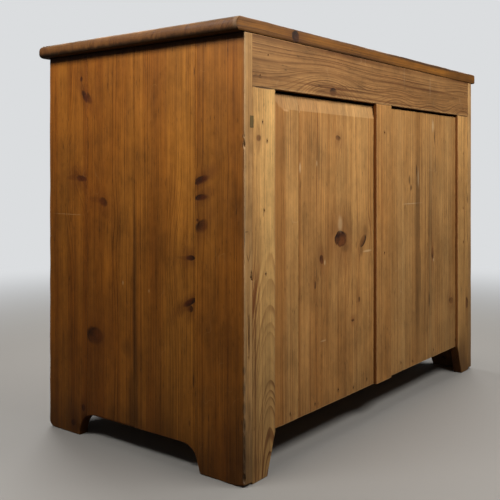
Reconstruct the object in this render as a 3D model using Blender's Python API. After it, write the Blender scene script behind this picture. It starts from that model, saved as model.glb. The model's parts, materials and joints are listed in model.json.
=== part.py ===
"""A low pine cupboard with two panelled doors.

The sides stand on feet that are cut from their own boards. The back is a frame
with a muntin and two sunk panels, nailed to the floor boards along its lower
edge. Two framed doors hang on butt hinges in a face frame: the left one is held
by a bolt, and the right one by a wooden catch that its knob turns.

Lengths are in metres and +Z is up. The doors face -Y, left and right are as
seen from the front, and the origin is on the floor under the object's middle.
"""
import math

import bmesh
import bpy
from mathutils import Matrix, Vector

# Carcass
WIDTH = 1.124           # across the outer faces of the sides
DEPTH = 0.590           # from the front edge to the back edge of a side
HEIGHT = 0.900          # from the floor to the upper face of the top
EDGE = 0.0012           # softened arris on every board
SEAM_EDGE = 0.0005      # finer arris where two boards meet edge to edge

# Clearances
FIT = 0.0003            # between faces that touch
END_GAP = 0.0008        # between the end of a tongue and the bottom of its groove
OVERCUT = 0.002         # how far a cutter runs past the face that it opens

# Top
TOP_T = 0.028
TOP_OVER_SIDE = 0.025
TOP_OVER_FRONT = 0.024
TOP_OVER_BACK = 0.002
TOP_CORNER_RADIUS = 0.026
TOP_UPPER_NOSE = 0.013
TOP_LOWER_NOSE = 0.009
TOP_REAR_BOARD = 0.212
TOP_FRONT_BOARD = 0.196
NOSE_STEPS = 4
CORNER_STEPS = 6

# Sides and the arch between their feet
SIDE_T = 0.025
SIDE_REAR_BOARD = 0.126
SIDE_REAR_MIDDLE_BOARD = 0.174
SIDE_FRONT_MIDDLE_BOARD = 0.155
ARCH_HEIGHT = 0.054
ARC_STEPS = 8
REAR_FOOT = 0.113
REAR_FOOT_FLARE = 0.009
REAR_FLARE_HEIGHT = 0.024
REAR_SWEEP = 0.043
REAR_HEEL_LENGTH = 0.022
REAR_HEEL_RISE = 0.005
FRONT_FOOT = 0.109
FRONT_FOOT_FLARE = 0.001
FRONT_FLARE_HEIGHT = 0.006
FRONT_SWEEP = 0.050
FRONT_TOE_RADIUS = 0.018

# Floor boards, housed in the sides
FLOOR_HEIGHT = 0.0825   # underside of the boards
FLOOR_T = 0.022
FLOOR_FRONT_BOARD = 0.285
HOUSING = 0.008

# Back frame and panels
BACK_FRAME_T = 0.025
BACK_STILE = 0.076
BACK_RAIL = 0.102
BACK_FOOT_TAPER = 0.027
MUNTIN = 0.0775
BACK_GROOVE = 0.011
PANEL_RECESS = 0.0085
BACK_PANEL_T = 0.010
PANEL_DROP = 0.006      # the panels have slipped this far below the rail
RIGHT_SEAM = 0.1965     # from the right edge of the back
LEFT_SEAM = 0.835       # from the right edge of the back
OLD_BEVEL_SIDE = 0.038
OLD_BEVEL_TOP = 0.031
OLD_BEVEL_DROP = 0.0035
OLD_BEVEL_STEP = 0.0009
STUB_SHOULDER = 0.008

# Shelf and its cleats
SHELF_HEIGHT = 0.440    # underside of the boards
SHELF_T = 0.018
SHELF_SETBACK = 0.060   # behind the front edge of the sides
SHELF_FRONT_BOARD = 0.250
CLEAT_T = 0.020
CLEAT_HEIGHT = 0.032

# Front frame
FRONT_FRAME_T = 0.022
FRONT_STILE = 0.060
FRONT_RAIL = 0.046
DOOR_REBATE = 0.008     # the floor stands this far above the apron and stops the doors
FRAME_TENON = 0.024
FRAME_TENON_T = 0.008
TENON_SHOULDER = 0.006
BLOCK = 0.026
BLOCK_LENGTH = 0.070
BLOCK_OFFSET = 0.300

# Doors
DOOR_T = 0.022
DOOR_GAP = 0.002
DOOR_STILE = 0.070
DOOR_TOP_RAIL = 0.070
DOOR_BOTTOM_RAIL = 0.095
DOOR_TENON = 0.040
DOOR_TENON_T = 0.0075
DOOR_TENON_SHOULDER = 0.012
DOOR_GROOVE = 0.009
TONGUE_T = 0.006
TONGUE_SETBACK = 0.0095  # from the door's face to the front of the groove
FIELD_BEVEL = 0.036
FIELD_RISE = 0.0055
FIELD_STEP = 0.0012

# Butt hinges
HINGE_LENGTH = 0.064
HINGE_INSET = 0.115     # from the door's end to the middle of the hinge
LEAF_WIDTH = 0.018
LEAF_T = 0.002
KNUCKLES = 5
KNUCKLE_RADIUS = 0.0045
KNUCKLE_GAP = 0.0004
PIN_RADIUS = 0.0021
PIN_HEAD = 0.0036
PIN_HEAD_HEIGHT = 0.003
ROUND_STEPS = 16

# Knobs and the turn catch
KNOB_HEIGHT = 0.500
KNOB_RADIUS = 0.0185
KNOB_REACH = 0.034
KNOB_BASE_RADIUS = 0.013
KNOB_NECK_RADIUS = 0.0085
SPINDLE_RADIUS = 0.0065
DOWEL_LENGTH = 0.016
CATCH_GAP = 0.0008
CATCH_REACH = 0.062
CATCH_TAIL = 0.014
CATCH_WIDTH = 0.020
CATCH_T = 0.008
KNOB_STEPS = 24

# Bolt inside the left door
BOLT_PLATE_T = 0.002
BOLT_PLATE_WIDTH = 0.028
BOLT_PLATE_BELOW_TOP = 0.006
BOLT_RADIUS = 0.0035
BOLT_RUNNING_GAP = 0.0004
GUIDE_WALL = 0.0028
GUIDE_LENGTH = 0.011
BOLT_TIP_BELOW_TOP = 0.003
BOLT_TRAVEL = 0.022     # the grip moves this far from guide to guide
BOLT_GRIP_RADIUS = 0.0032
BOLT_GRIP_REACH = 0.015
KEEP_LENGTH = 0.022
KEEP_LIFT = 0.003       # above the lower edge of the front rail

# Places that follow from the sizes above
FRONT_REACH = max(KNOB_REACH, TOP_OVER_FRONT)
FRONT = FRONT_REACH - (FRONT_REACH + DEPTH + TOP_OVER_BACK) / 2
BACK = FRONT + DEPTH
OUTER = WIDTH / 2
INNER = OUTER - SIDE_T
TOP_UNDERSIDE = HEIGHT - TOP_T
UNDER_TOP = TOP_UNDERSIDE - FIT
SIDE_REAR_SEAM = BACK - SIDE_REAR_BOARD
SIDE_MIDDLE_SEAM = SIDE_REAR_SEAM - SIDE_REAR_MIDDLE_BOARD
SIDE_FRONT_SEAM = SIDE_MIDDLE_SEAM - SIDE_FRONT_MIDDLE_BOARD
FLOOR_TOP = FLOOR_HEIGHT + FLOOR_T
BACK_RAIL_LOW = TOP_UNDERSIDE - BACK_RAIL
BACK_STILE_INNER = INNER - FIT - BACK_STILE
BACK_FRAME_INSIDE = BACK - BACK_FRAME_T
PANEL_FACE = BACK - PANEL_RECESS
PANEL_INSIDE = PANEL_FACE - BACK_PANEL_T
FLOOR_FRONT = FRONT + FRONT_FRAME_T + FIT
FLOOR_SEAM = FLOOR_FRONT + FLOOR_FRONT_BOARD
APRON_TOP = FLOOR_TOP - DOOR_REBATE
FRONT_RAIL_LOW = TOP_UNDERSIDE - FRONT_RAIL
OPENING = INNER - FIT - FRONT_STILE
DOOR_LOW = APRON_TOP + DOOR_GAP
DOOR_HIGH = FRONT_RAIL_LOW - DOOR_GAP
DOOR_BACK = FRONT + DOOR_T
DOOR_EDGE = OPENING - DOOR_GAP
MEETING = DOOR_GAP / 2
HINGE_AXIS_X = OPENING - DOOR_GAP / 2
HINGE_AXIS_Y = FRONT - KNUCKLE_RADIUS - FIT
KNOB_X = MEETING + DOOR_STILE / 2
BORE_RADIUS = PIN_RADIUS + KNUCKLE_GAP
BOLT_BORE = BOLT_RADIUS + BOLT_RUNNING_GAP
BOLT_FRONT = DOOR_BACK + FIT
BOLT_AXIS_Y = BOLT_FRONT + BOLT_PLATE_T + BOLT_BORE + GUIDE_WALL / 2
BOLT_PLATE_HIGH = DOOR_HIGH - BOLT_PLATE_BELOW_TOP
GRIP_SLOT = BOLT_TRAVEL + 2 * BOLT_GRIP_RADIUS + 2 * FIT
BOLT_PLATE_LOW = BOLT_PLATE_HIGH - GRIP_SLOT - 2 * (GUIDE_LENGTH + GUIDE_WALL)


def linear(red, green, blue):
    """Turn an 8-bit screen colour into the linear values that a shader takes."""
    def channel(value):
        value = value / 255
        return value / 12.92 if value <= 0.04045 else ((value + 0.055) / 1.055) ** 2.4
    return (channel(red), channel(green), channel(blue), 1.0)


def make_material(name, colour, roughness, metallic=0.0):
    material = bpy.data.materials.new(name)
    material.use_nodes = True
    material.diffuse_color = colour
    shader = material.node_tree.nodes["Principled BSDF"]
    shader.inputs["Base Color"].default_value = colour
    shader.inputs["Roughness"].default_value = roughness
    shader.inputs["Metallic"].default_value = metallic
    return material


def add_object(name, mesh, material, at=(0, 0, 0)):
    piece = bpy.data.objects.new(name, mesh)
    piece.location = at
    if not mesh.materials:
        mesh.materials.append(material)
    bpy.context.collection.objects.link(piece)
    return piece


def mesh_from(name, bm):
    bmesh.ops.recalc_face_normals(bm, faces=bm.faces)
    mesh = bpy.data.meshes.new(name)
    bm.to_mesh(mesh)
    bm.free()
    return mesh


def lies_near(edge, plane, distance):
    """Say whether an edge lies within a distance of a plane given as (axis index, place)."""
    axis, place = plane
    return all(abs(vert.co[axis] - place) < distance for vert in edge.verts)


def soften(bm, width, crisp=(), fine=()):
    """Chamfer the sharp edges.

    Edges in a fine plane, where boards are glued, get a smaller chamfer. Those
    in a crisp plane, the shoulder of a joint, get none.
    """
    seams = [edge for edge in bm.edges if any(lies_near(edge, plane, FIT / 2) for plane in fine)]
    if seams:
        bmesh.ops.bevel(bm, geom=seams, offset=SEAM_EDGE, segments=1, affect='EDGES')
    done = list(crisp) + list(fine)
    sharp = [edge for edge in bm.edges
             if edge.calc_face_angle(0) > math.radians(30)
             and not any(lies_near(edge, plane, 2 * SEAM_EDGE) for plane in done)]
    bmesh.ops.bevel(bm, geom=sharp, offset=width, segments=1, affect='EDGES')


def prism(name, outline, axis, low, high, material, edge=0.0, crisp=(), fine=()):
    """Extrude an outline along an axis.

    The outline is in (Y, Z) for axis X, in (X, Z) for axis Y and in (X, Y) for
    axis Z. Edges in the crisp planes stay sharp, and those in the fine planes
    get the small arris of a glued seam.
    """
    index = "XYZ".index(axis)
    bm = bmesh.new()
    corners = []
    for u, v in outline:
        place = [u, v]
        place.insert(index, low)
        corners.append(bm.verts.new(place))
    face = bm.faces.new(corners)
    grown = bmesh.ops.extrude_face_region(bm, geom=[face])
    moved = [item for item in grown["geom"] if isinstance(item, bmesh.types.BMVert)]
    step = Vector((0, 0, 0))
    step[index] = high - low
    bmesh.ops.translate(bm, verts=moved, vec=step)
    if edge:
        bmesh.ops.recalc_face_normals(bm, faces=bm.faces)
        soften(bm, edge, crisp, fine)
    return add_object(name, mesh_from(name, bm), material)


def block(name, low, high, material, edge=0.0, crisp=(), fine=()):
    """Make a rectangular piece from its two opposite corners."""
    x0, x1 = sorted((low[0], high[0]))
    y0, y1 = sorted((low[1], high[1]))
    z0, z1 = sorted((low[2], high[2]))
    outline = [(x0, y0), (x1, y0), (x1, y1), (x0, y1)]
    return prism(name, outline, "Z", z0, z1, material, edge, crisp, fine)


def turned(name, profile, centre, direction, material, steps):
    """Turn a profile of (radius, distance along the axis) round an axis through centre."""
    bm = bmesh.new()
    points = [bm.verts.new((radius, 0, along)) for radius, along in profile]
    lines = [bm.edges.new(pair) for pair in zip(points, points[1:])]
    bmesh.ops.spin(bm, geom=points + lines, axis=(0, 0, 1), cent=(0, 0, 0),
                   angle=math.tau, steps=steps, use_duplicate=False)
    bmesh.ops.remove_doubles(bm, verts=bm.verts, dist=1e-6)
    turn = Vector((0, 0, 1)).rotation_difference(Vector(direction)).to_matrix().to_4x4()
    bmesh.ops.transform(bm, matrix=Matrix.Translation(centre) @ turn, verts=bm.verts)
    piece = add_object(name, mesh_from(name, bm), material)
    piece.data.shade_smooth()
    piece.data.set_sharp_from_angle(angle=math.radians(40))
    return piece


def rod(name, centre, direction, radius, low, high, material, steps=ROUND_STEPS):
    profile = [(0, low), (radius, low), (radius, high), (0, high)]
    return turned(name, profile, centre, direction, material, steps)


def carve(piece, tool, operation='DIFFERENCE'):
    """Apply one Boolean and remove its tool."""
    cut = piece.modifiers.new(tool.name, 'BOOLEAN')
    cut.operation = operation
    cut.solver = 'EXACT'
    cut.object = tool
    bpy.context.view_layer.update()
    depsgraph = bpy.context.evaluated_depsgraph_get()
    result = bpy.data.meshes.new_from_object(piece.evaluated_get(depsgraph))
    piece.modifiers.clear()
    piece.data = result
    result.name = piece.name
    bpy.data.objects.remove(tool)
    return piece


def pocket(piece, low, high):
    """Cut a rectangular groove, housing or mortise out of a piece."""
    return carve(piece, block("pocket", low, high, None))


def tenon(piece, low, high):
    """Grow a rectangular tenon or tongue that runs on from inside a piece."""
    return carve(piece, block("tenon", low, high, piece.data.materials[0]), 'UNION')


def add_pivot(name, at, parent=None):
    """Add an empty on a joint's axis. Its pieces move with it."""
    pivot = bpy.data.objects.new(name, None)
    pivot.empty_display_size = 0.05
    pivot["place"] = at
    start = Vector(parent["place"]) if parent else Vector((0, 0, 0))
    pivot.location = Vector(at) - start
    pivot.parent = parent
    bpy.context.collection.objects.link(pivot)
    return pivot


def hang(piece, pivot):
    """Give a piece its origin on a pivot and parent it there."""
    place = Vector(pivot["place"])
    piece.data.transform(Matrix.Translation(piece.location - place))
    piece.location = (0, 0, 0)
    piece.parent = pivot


def quarter_curve(start, flare, flare_height, sweep):
    """Trace a foot's inner edge from the floor to the arch: a flare, then a quarter ellipse.

    Each point is (distance from the foot's outer edge, height).
    """
    points = [(start, 0.0), (start + flare, flare_height)]
    rise = ARCH_HEIGHT - flare_height
    for step in range(1, ARC_STEPS + 1):
        turn = math.pi / 2 * step / ARC_STEPS
        reach = start + flare + sweep * (1 - math.cos(turn))
        points.append((reach, flare_height + rise * math.sin(turn)))
    return points


def make_top(wood):
    """Loft the nosed top through outlines that grow and shrink, then part it into boards."""
    end = OUTER + TOP_OVER_SIDE
    front = FRONT - TOP_OVER_FRONT
    back = BACK + TOP_OVER_BACK
    levels = []
    for step in range(NOSE_STEPS + 1):
        turn = math.pi / 2 * step / NOSE_STEPS
        levels.append((TOP_LOWER_NOSE * (1 - math.sin(turn)), TOP_LOWER_NOSE * (1 - math.cos(turn))))
    for step in range(NOSE_STEPS + 1):
        turn = math.pi / 2 * step / NOSE_STEPS
        height = TOP_T - TOP_UPPER_NOSE * (1 - math.sin(turn))
        levels.append((TOP_UPPER_NOSE * (1 - math.cos(turn)), height))

    def outline(inset):
        points = [(end - inset, back)]
        centre_y = front + TOP_CORNER_RADIUS
        radius = TOP_CORNER_RADIUS - inset
        for side, first in ((1, 0), (-1, CORNER_STEPS)):
            for step in range(CORNER_STEPS + 1):
                turn = math.pi / 2 * abs(first - step) / CORNER_STEPS
                centre_x = side * (end - TOP_CORNER_RADIUS)
                x = centre_x + side * radius * math.cos(turn)
                points.append((x, centre_y - radius * math.sin(turn)))
        points.append((inset - end, back))
        return points

    def loft():
        bm = bmesh.new()
        rings = []
        for inset, height in levels:
            ring = [bm.verts.new((x, y, TOP_UNDERSIDE + height)) for x, y in outline(inset)]
            rings.append(ring)
        for lower, upper in zip(rings, rings[1:]):
            for i in range(len(lower)):
                j = (i + 1) % len(lower)
                bm.faces.new((lower[i], lower[j], upper[j], upper[i]))
        bm.faces.new(rings[0])
        bm.faces.new(rings[-1])
        return mesh_from("top", bm)

    rear_seam = back - TOP_REAR_BOARD
    front_seam = front + TOP_FRONT_BOARD
    spans = (
        ("top_front_board", front - OVERCUT, front_seam - FIT / 2),
        ("top_middle_board", front_seam + FIT / 2, rear_seam - FIT / 2),
        ("top_rear_board", rear_seam + FIT / 2, back + OVERCUT),
    )
    for name, y0, y1 in spans:
        board = add_object(name, loft(), wood)
        low = (-end - OVERCUT, y0, TOP_UNDERSIDE - OVERCUT)
        high = (end + OVERCUT, y1, HEIGHT + OVERCUT)
        carve(board, block("saw", low, high, wood), 'INTERSECT')


def saw_outline(outline, place, keep):
    """Cut an outline in (Y, Z) along the line Y = place. keep is +1 for the part behind it, -1 for the front."""
    kept = []
    for (y0, z0), (y1, z1) in zip(outline, outline[1:] + outline[:1]):
        if keep * (y0 - place) >= 0:
            kept.append((y0, z0))
        if (y0 - place) * (y1 - place) < 0:
            share = (place - y0) / (y1 - y0)
            kept.append((place, z0 + share * (z1 - z0)))
    return kept


def side_outline():
    """Trace a whole side in (Y, Z): worn heel, back edge, toe, and the arch between the feet."""
    rear_curve = quarter_curve(REAR_FOOT, REAR_FOOT_FLARE, REAR_FLARE_HEIGHT, REAR_SWEEP)
    front_curve = quarter_curve(FRONT_FOOT, FRONT_FOOT_FLARE, FRONT_FLARE_HEIGHT, FRONT_SWEEP)
    outline = [(BACK - REAR_HEEL_LENGTH, 0.0), (BACK, REAR_HEEL_RISE), (BACK, UNDER_TOP), (FRONT, UNDER_TOP)]
    for step in range(ARC_STEPS + 1):
        turn = math.pi / 2 * step / ARC_STEPS
        outline.append((FRONT + FRONT_TOE_RADIUS * (1 - math.cos(turn)),
                        FRONT_TOE_RADIUS * (1 - math.sin(turn))))
    outline += [(FRONT + reach, height) for reach, height in front_curve]
    outline += [(BACK - reach, height) for reach, height in reversed(rear_curve)]
    return outline


def make_side(hand, word, wood):
    """Make one side of four boards glued edge to edge. hand is +1 for the right side and -1 for the left."""
    inner = hand * INNER
    outer = hand * OUTER
    low, high = sorted((inner, outer))
    housing_low = (inner - hand * OVERCUT, FLOOR_FRONT - FIT, FLOOR_HEIGHT - FIT)
    housing_high = (inner + hand * HOUSING, BACK_FRAME_INSIDE, FLOOR_TOP + FIT)
    spans = (
        ("rear", SIDE_REAR_SEAM, None),
        ("rear_middle", SIDE_MIDDLE_SEAM, SIDE_REAR_SEAM),
        ("front_middle", SIDE_FRONT_SEAM, SIDE_MIDDLE_SEAM),
        ("front", None, SIDE_FRONT_SEAM),
    )
    for part, front_seam, rear_seam in spans:
        outline = side_outline()
        seams = []
        if front_seam is not None:
            seams.append((1, front_seam + FIT / 2))
            outline = saw_outline(outline, front_seam + FIT / 2, 1)
        if rear_seam is not None:
            seams.append((1, rear_seam - FIT / 2))
            outline = saw_outline(outline, rear_seam - FIT / 2, -1)
        board = prism(f"{word}_side_{part}_board", outline, "X", low, high, wood, EDGE, fine=seams)
        pocket(board, housing_low, housing_high)


def make_floor(wood):
    """Make the two floor boards: ends in the side housings, rear edge notched round the back frame."""
    end = INNER + HOUSING - END_GAP
    notch_y = BACK_FRAME_INSIDE - FIT
    panel_y = PANEL_INSIDE - FIT
    stile_x = BACK_STILE_INNER - FIT
    muntin_x = MUNTIN / 2 + FIT
    front_edge = FLOOR_SEAM - FIT / 2
    rear_edge = FLOOR_SEAM + FIT / 2
    front = [(-end, FLOOR_FRONT), (end, FLOOR_FRONT), (end, front_edge), (-end, front_edge)]
    rear = [(-end, rear_edge), (end, rear_edge), (end, notch_y), (stile_x, notch_y),
            (stile_x, panel_y), (muntin_x, panel_y), (muntin_x, notch_y),
            (-muntin_x, notch_y), (-muntin_x, panel_y), (-stile_x, panel_y),
            (-stile_x, notch_y), (-end, notch_y)]
    prism("floor_front_board", front, "Z", FLOOR_HEIGHT, FLOOR_TOP, wood, SEAM_EDGE)
    prism("floor_rear_board", rear, "Z", FLOOR_HEIGHT, FLOOR_TOP, wood, SEAM_EDGE)


def make_back_frame(wood):
    """Make the top rail, the two footed stiles and the muntin, joined by stub tenons in a groove."""
    groove_front = PANEL_INSIDE - FIT
    groove_back = PANEL_FACE + FIT
    stub_top = BACK_RAIL_LOW + BACK_GROOVE - END_GAP
    reach = INNER - FIT

    rail = block("back_top_rail", (-reach, BACK_FRAME_INSIDE, BACK_RAIL_LOW),
                 (reach, BACK, UNDER_TOP), wood, EDGE)
    pocket(rail, (-reach - OVERCUT, groove_front, BACK_RAIL_LOW - OVERCUT),
           (reach + OVERCUT, groove_back, BACK_RAIL_LOW + BACK_GROOVE))

    shoulder = BACK_RAIL_LOW - FIT
    for hand, word in ((1, "right"), (-1, "left")):
        outer = hand * reach
        inner = hand * BACK_STILE_INNER
        toe = inner + hand * BACK_FOOT_TAPER
        outline = [(outer, 0.0), (outer, shoulder), (inner, shoulder), (inner, FLOOR_HEIGHT), (toe, 0.0)]
        stile = prism(f"back_{word}_stile", outline, "Y", BACK_FRAME_INSIDE, BACK, wood, EDGE)
        tenon(stile, (inner + hand * (BACK_GROOVE + OVERCUT), PANEL_INSIDE, shoulder - 2 * BACK_GROOVE),
              (outer - hand * STUB_SHOULDER, PANEL_FACE, stub_top))
        pocket(stile, (inner - hand * OVERCUT, groove_front, FLOOR_HEIGHT),
               (inner + hand * BACK_GROOVE, groove_back, shoulder + OVERCUT))

    half = MUNTIN / 2
    muntin = block("back_muntin", (-half, BACK_FRAME_INSIDE, FLOOR_HEIGHT), (half, BACK, shoulder),
                   wood, EDGE)
    stub = half - BACK_GROOVE - OVERCUT
    tenon(muntin, (-stub, PANEL_INSIDE, shoulder - 2 * BACK_GROOVE), (stub, PANEL_FACE, stub_top))
    for hand in (1, -1):
        pocket(muntin, (hand * (half + OVERCUT), groove_front, FLOOR_HEIGHT - OVERCUT),
               (hand * (half - BACK_GROOVE), groove_back, shoulder + OVERCUT))


def make_back_panels(wood):
    """Make the four panel boards. The right panel keeps an old bevel at its outer and top edges."""
    panel_top = BACK_RAIL_LOW - PANEL_DROP
    stile_end = BACK_STILE_INNER + BACK_GROOVE - END_GAP
    muntin_end = MUNTIN / 2 - BACK_GROOVE + END_GAP
    right_seam = OUTER - RIGHT_SEAM
    left_seam = OUTER - LEFT_SEAM
    spans = (
        ("back_right_panel_outer_board", right_seam + FIT / 2, stile_end, right_seam + FIT / 2),
        ("back_right_panel_inner_board", muntin_end, right_seam - FIT / 2, right_seam - FIT / 2),
        ("back_left_panel_inner_board", left_seam + FIT / 2, -muntin_end, left_seam + FIT / 2),
        ("back_left_panel_outer_board", -stile_end, left_seam - FIT / 2, left_seam - FIT / 2),
    )
    boards = {}
    for name, x0, x1, seam in spans:
        boards[name] = block(name, (x0, PANEL_INSIDE, FLOOR_HEIGHT), (x1, PANEL_FACE, panel_top),
                             wood, EDGE / 2, fine=[(0, seam)])

    field_z = panel_top - OLD_BEVEL_TOP
    above = panel_top + OVERCUT
    drop = OLD_BEVEL_STEP + OLD_BEVEL_DROP
    top_wedge = [(PANEL_FACE - OLD_BEVEL_STEP, field_z), (PANEL_FACE - drop, above),
                 (PANEL_FACE + OVERCUT, above), (PANEL_FACE + OVERCUT, field_z)]
    field_x = BACK_STILE_INNER - OLD_BEVEL_SIDE
    beyond = stile_end + OVERCUT
    side_wedge = [(field_x, PANEL_FACE - OLD_BEVEL_STEP), (beyond, PANEL_FACE - drop),
                  (beyond, PANEL_FACE + OVERCUT), (field_x, PANEL_FACE + OVERCUT)]
    for name in ("back_right_panel_outer_board", "back_right_panel_inner_board"):
        carve(boards[name], prism("plane", top_wedge, "X", muntin_end - OVERCUT, beyond, wood))
    carve(boards["back_right_panel_outer_board"],
          prism("plane", side_wedge, "Z", FLOOR_HEIGHT - OVERCUT, above, wood))


def make_shelf(wood):
    front = FRONT + SHELF_SETBACK
    back = BACK_FRAME_INSIDE - END_GAP
    seam = front + SHELF_FRONT_BOARD
    end = INNER - END_GAP
    low = SHELF_HEIGHT
    high = SHELF_HEIGHT + SHELF_T
    block("shelf_front_board", (-end, front, low), (end, seam - FIT / 2, high), wood, EDGE,
          fine=[(1, seam - FIT / 2)])
    block("shelf_rear_board", (-end, seam + FIT / 2, low), (end, back, high), wood, EDGE,
          fine=[(1, seam + FIT / 2)])
    for hand, word in ((1, "right"), (-1, "left")):
        block(f"shelf_{word}_cleat", (hand * (INNER - FIT), front, low - FIT - CLEAT_HEIGHT),
              (hand * (INNER - FIT - CLEAT_T), back, low - FIT), wood, EDGE)


def make_front_frame(wood, rough_wood):
    """Make the face frame: stiles to the floor, top rail, and an apron with swept brackets."""
    inside = FRONT + FRONT_FRAME_T
    tenon_front = FRONT + (FRONT_FRAME_T - FRAME_TENON_T) / 2
    tenon_back = tenon_front + FRAME_TENON_T
    rail_mortise = (FRONT_RAIL_LOW + TENON_SHOULDER, UNDER_TOP - TENON_SHOULDER)
    apron_mortise = (ARCH_HEIGHT + TENON_SHOULDER, APRON_TOP - TENON_SHOULDER)

    for hand, word in ((1, "right"), (-1, "left")):
        edge_x = hand * OPENING
        stile = block(f"front_{word}_stile", (edge_x, FRONT, 0.0),
                      (hand * (INNER - FIT), inside, UNDER_TOP), wood, EDGE)
        for low, high in (rail_mortise, apron_mortise):
            pocket(stile, (edge_x - hand * OVERCUT, tenon_front - FIT, low - FIT),
                   (edge_x + hand * FRAME_TENON, tenon_back + FIT, high + FIT))
        for height in hinge_heights():
            cut_hinge_recess(stile, edge_x, hand, height)

    end = OPENING - FIT
    reach = OPENING + FRAME_TENON - END_GAP
    ends = [(0, end), (0, -end)]
    rail = block("front_top_rail", (-end, FRONT, FRONT_RAIL_LOW), (end, inside, UNDER_TOP),
                 wood, EDGE, crisp=ends)
    tenon(rail, (-reach, tenon_front, rail_mortise[0]), (reach, tenon_back, rail_mortise[1]))

    bracket = quarter_curve(0.0, FRONT_FOOT_FLARE, FRONT_FLARE_HEIGHT, FRONT_SWEEP)[1:]
    right = [(end - out, height) for out, height in bracket]
    left = [(out - end, height) for out, height in reversed(bracket)]
    outline = [(end, APRON_TOP), (end, FRONT_FLARE_HEIGHT)] + right + left
    outline += [(-end, FRONT_FLARE_HEIGHT), (-end, APRON_TOP)]
    apron = prism("front_apron", outline, "Y", FRONT, inside, wood, EDGE, crisp=ends)
    tenon(apron, (-reach, tenon_front, apron_mortise[0]), (reach, tenon_back, apron_mortise[1]))

    for hand, word in ((1, "right"), (-1, "left")):
        middle = hand * BLOCK_OFFSET
        block(f"apron_{word}_block",
              (middle - BLOCK_LENGTH / 2, inside + FIT, FLOOR_HEIGHT - FIT - BLOCK),
              (middle + BLOCK_LENGTH / 2, inside + FIT + BLOCK, FLOOR_HEIGHT - FIT), rough_wood, EDGE)


def hinge_heights():
    return (DOOR_HIGH - HINGE_INSET, DOOR_LOW + HINGE_INSET)


def cut_hinge_recess(piece, edge_x, into, height):
    """Let a leaf into the edge of a stile. into is the direction of the wood along X."""
    half = HINGE_LENGTH / 2 + FIT
    pocket(piece, (edge_x - into * OVERCUT, FRONT - OVERCUT, height - half),
           (edge_x + into * (LEAF_T + FIT), FRONT + LEAF_WIDTH + FIT, height + half))


def make_door(hand, word, wood, pivot):
    """Make one framed door. hand is +1 for the right door and -1 for the left."""
    hinge_x = hand * DOOR_EDGE
    hinge_inner = hand * (DOOR_EDGE - DOOR_STILE)
    meeting_x = hand * MEETING
    meeting_inner = hand * (MEETING + DOOR_STILE)
    top_rail_low = DOOR_HIGH - DOOR_TOP_RAIL
    bottom_rail_high = DOOR_LOW + DOOR_BOTTOM_RAIL
    groove_front = FRONT + TONGUE_SETBACK
    groove_back = groove_front + TONGUE_T + 2 * FIT
    tenon_front = FRONT + (DOOR_T - DOOR_TENON_T) / 2
    tenon_back = tenon_front + DOOR_TENON_T
    top_tenon = (top_rail_low + DOOR_GROOVE + DOOR_TENON_SHOULDER / 2, DOOR_HIGH - DOOR_TENON_SHOULDER)
    bottom_tenon = (DOOR_LOW + DOOR_TENON_SHOULDER,
                    bottom_rail_high - DOOR_GROOVE - DOOR_TENON_SHOULDER / 2)
    pieces = []

    stiles = (("hinge", hinge_x, hinge_inner, -hand), ("meeting", meeting_x, meeting_inner, hand))
    for part, outer, inner, into in stiles:
        stile = block(f"{word}_door_{part}_stile", (outer, FRONT, DOOR_LOW),
                      (inner, DOOR_BACK, DOOR_HIGH), wood, EDGE)
        pocket(stile, (inner + into * OVERCUT, groove_front, bottom_rail_high - DOOR_GROOVE),
               (inner - into * DOOR_GROOVE, groove_back, top_rail_low + DOOR_GROOVE))
        for low, high in (top_tenon, bottom_tenon):
            pocket(stile, (inner + into * OVERCUT, tenon_front - FIT, low - FIT),
                   (inner - into * DOOR_TENON, tenon_back + FIT, high + FIT))
        pieces.append(stile)
    for height in hinge_heights():
        cut_hinge_recess(pieces[0], hinge_x, -hand, height)

    shoulder_a = hinge_inner - hand * FIT
    shoulder_b = meeting_inner + hand * FIT
    reach_a = hinge_inner + hand * (DOOR_TENON - END_GAP)
    reach_b = meeting_inner - hand * (DOOR_TENON - END_GAP)
    tight = [(0, shoulder_a), (0, shoulder_b)]
    rails = (("top", top_rail_low, DOOR_HIGH, top_tenon,
              top_rail_low - OVERCUT, top_rail_low + DOOR_GROOVE),
             ("bottom", DOOR_LOW, bottom_rail_high, bottom_tenon,
              bottom_rail_high - DOOR_GROOVE, bottom_rail_high + OVERCUT))
    for part, low, high, stub, groove_low, groove_high in rails:
        rail = block(f"{word}_door_{part}_rail", (shoulder_a, FRONT, low), (shoulder_b, DOOR_BACK, high),
                     wood, EDGE, crisp=tight)
        tenon(rail, (reach_a, tenon_front, stub[0]), (reach_b, tenon_back, stub[1]))
        pocket(rail, (shoulder_a + hand * DOOR_TENON, groove_front, groove_low),
               (shoulder_b - hand * DOOR_TENON, groove_back, groove_high))
        pieces.append(rail)

    x0, x1 = sorted((hinge_inner, meeting_inner))
    pieces.append(make_fielded_panel(f"{word}_door_panel", x0, x1, bottom_rail_high, top_rail_low,
                                     groove_front, wood))
    for piece in pieces:
        hang(piece, pivot)
    return {"hinge_stile": pieces[0], "meeting_stile": pieces[1]}


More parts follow.
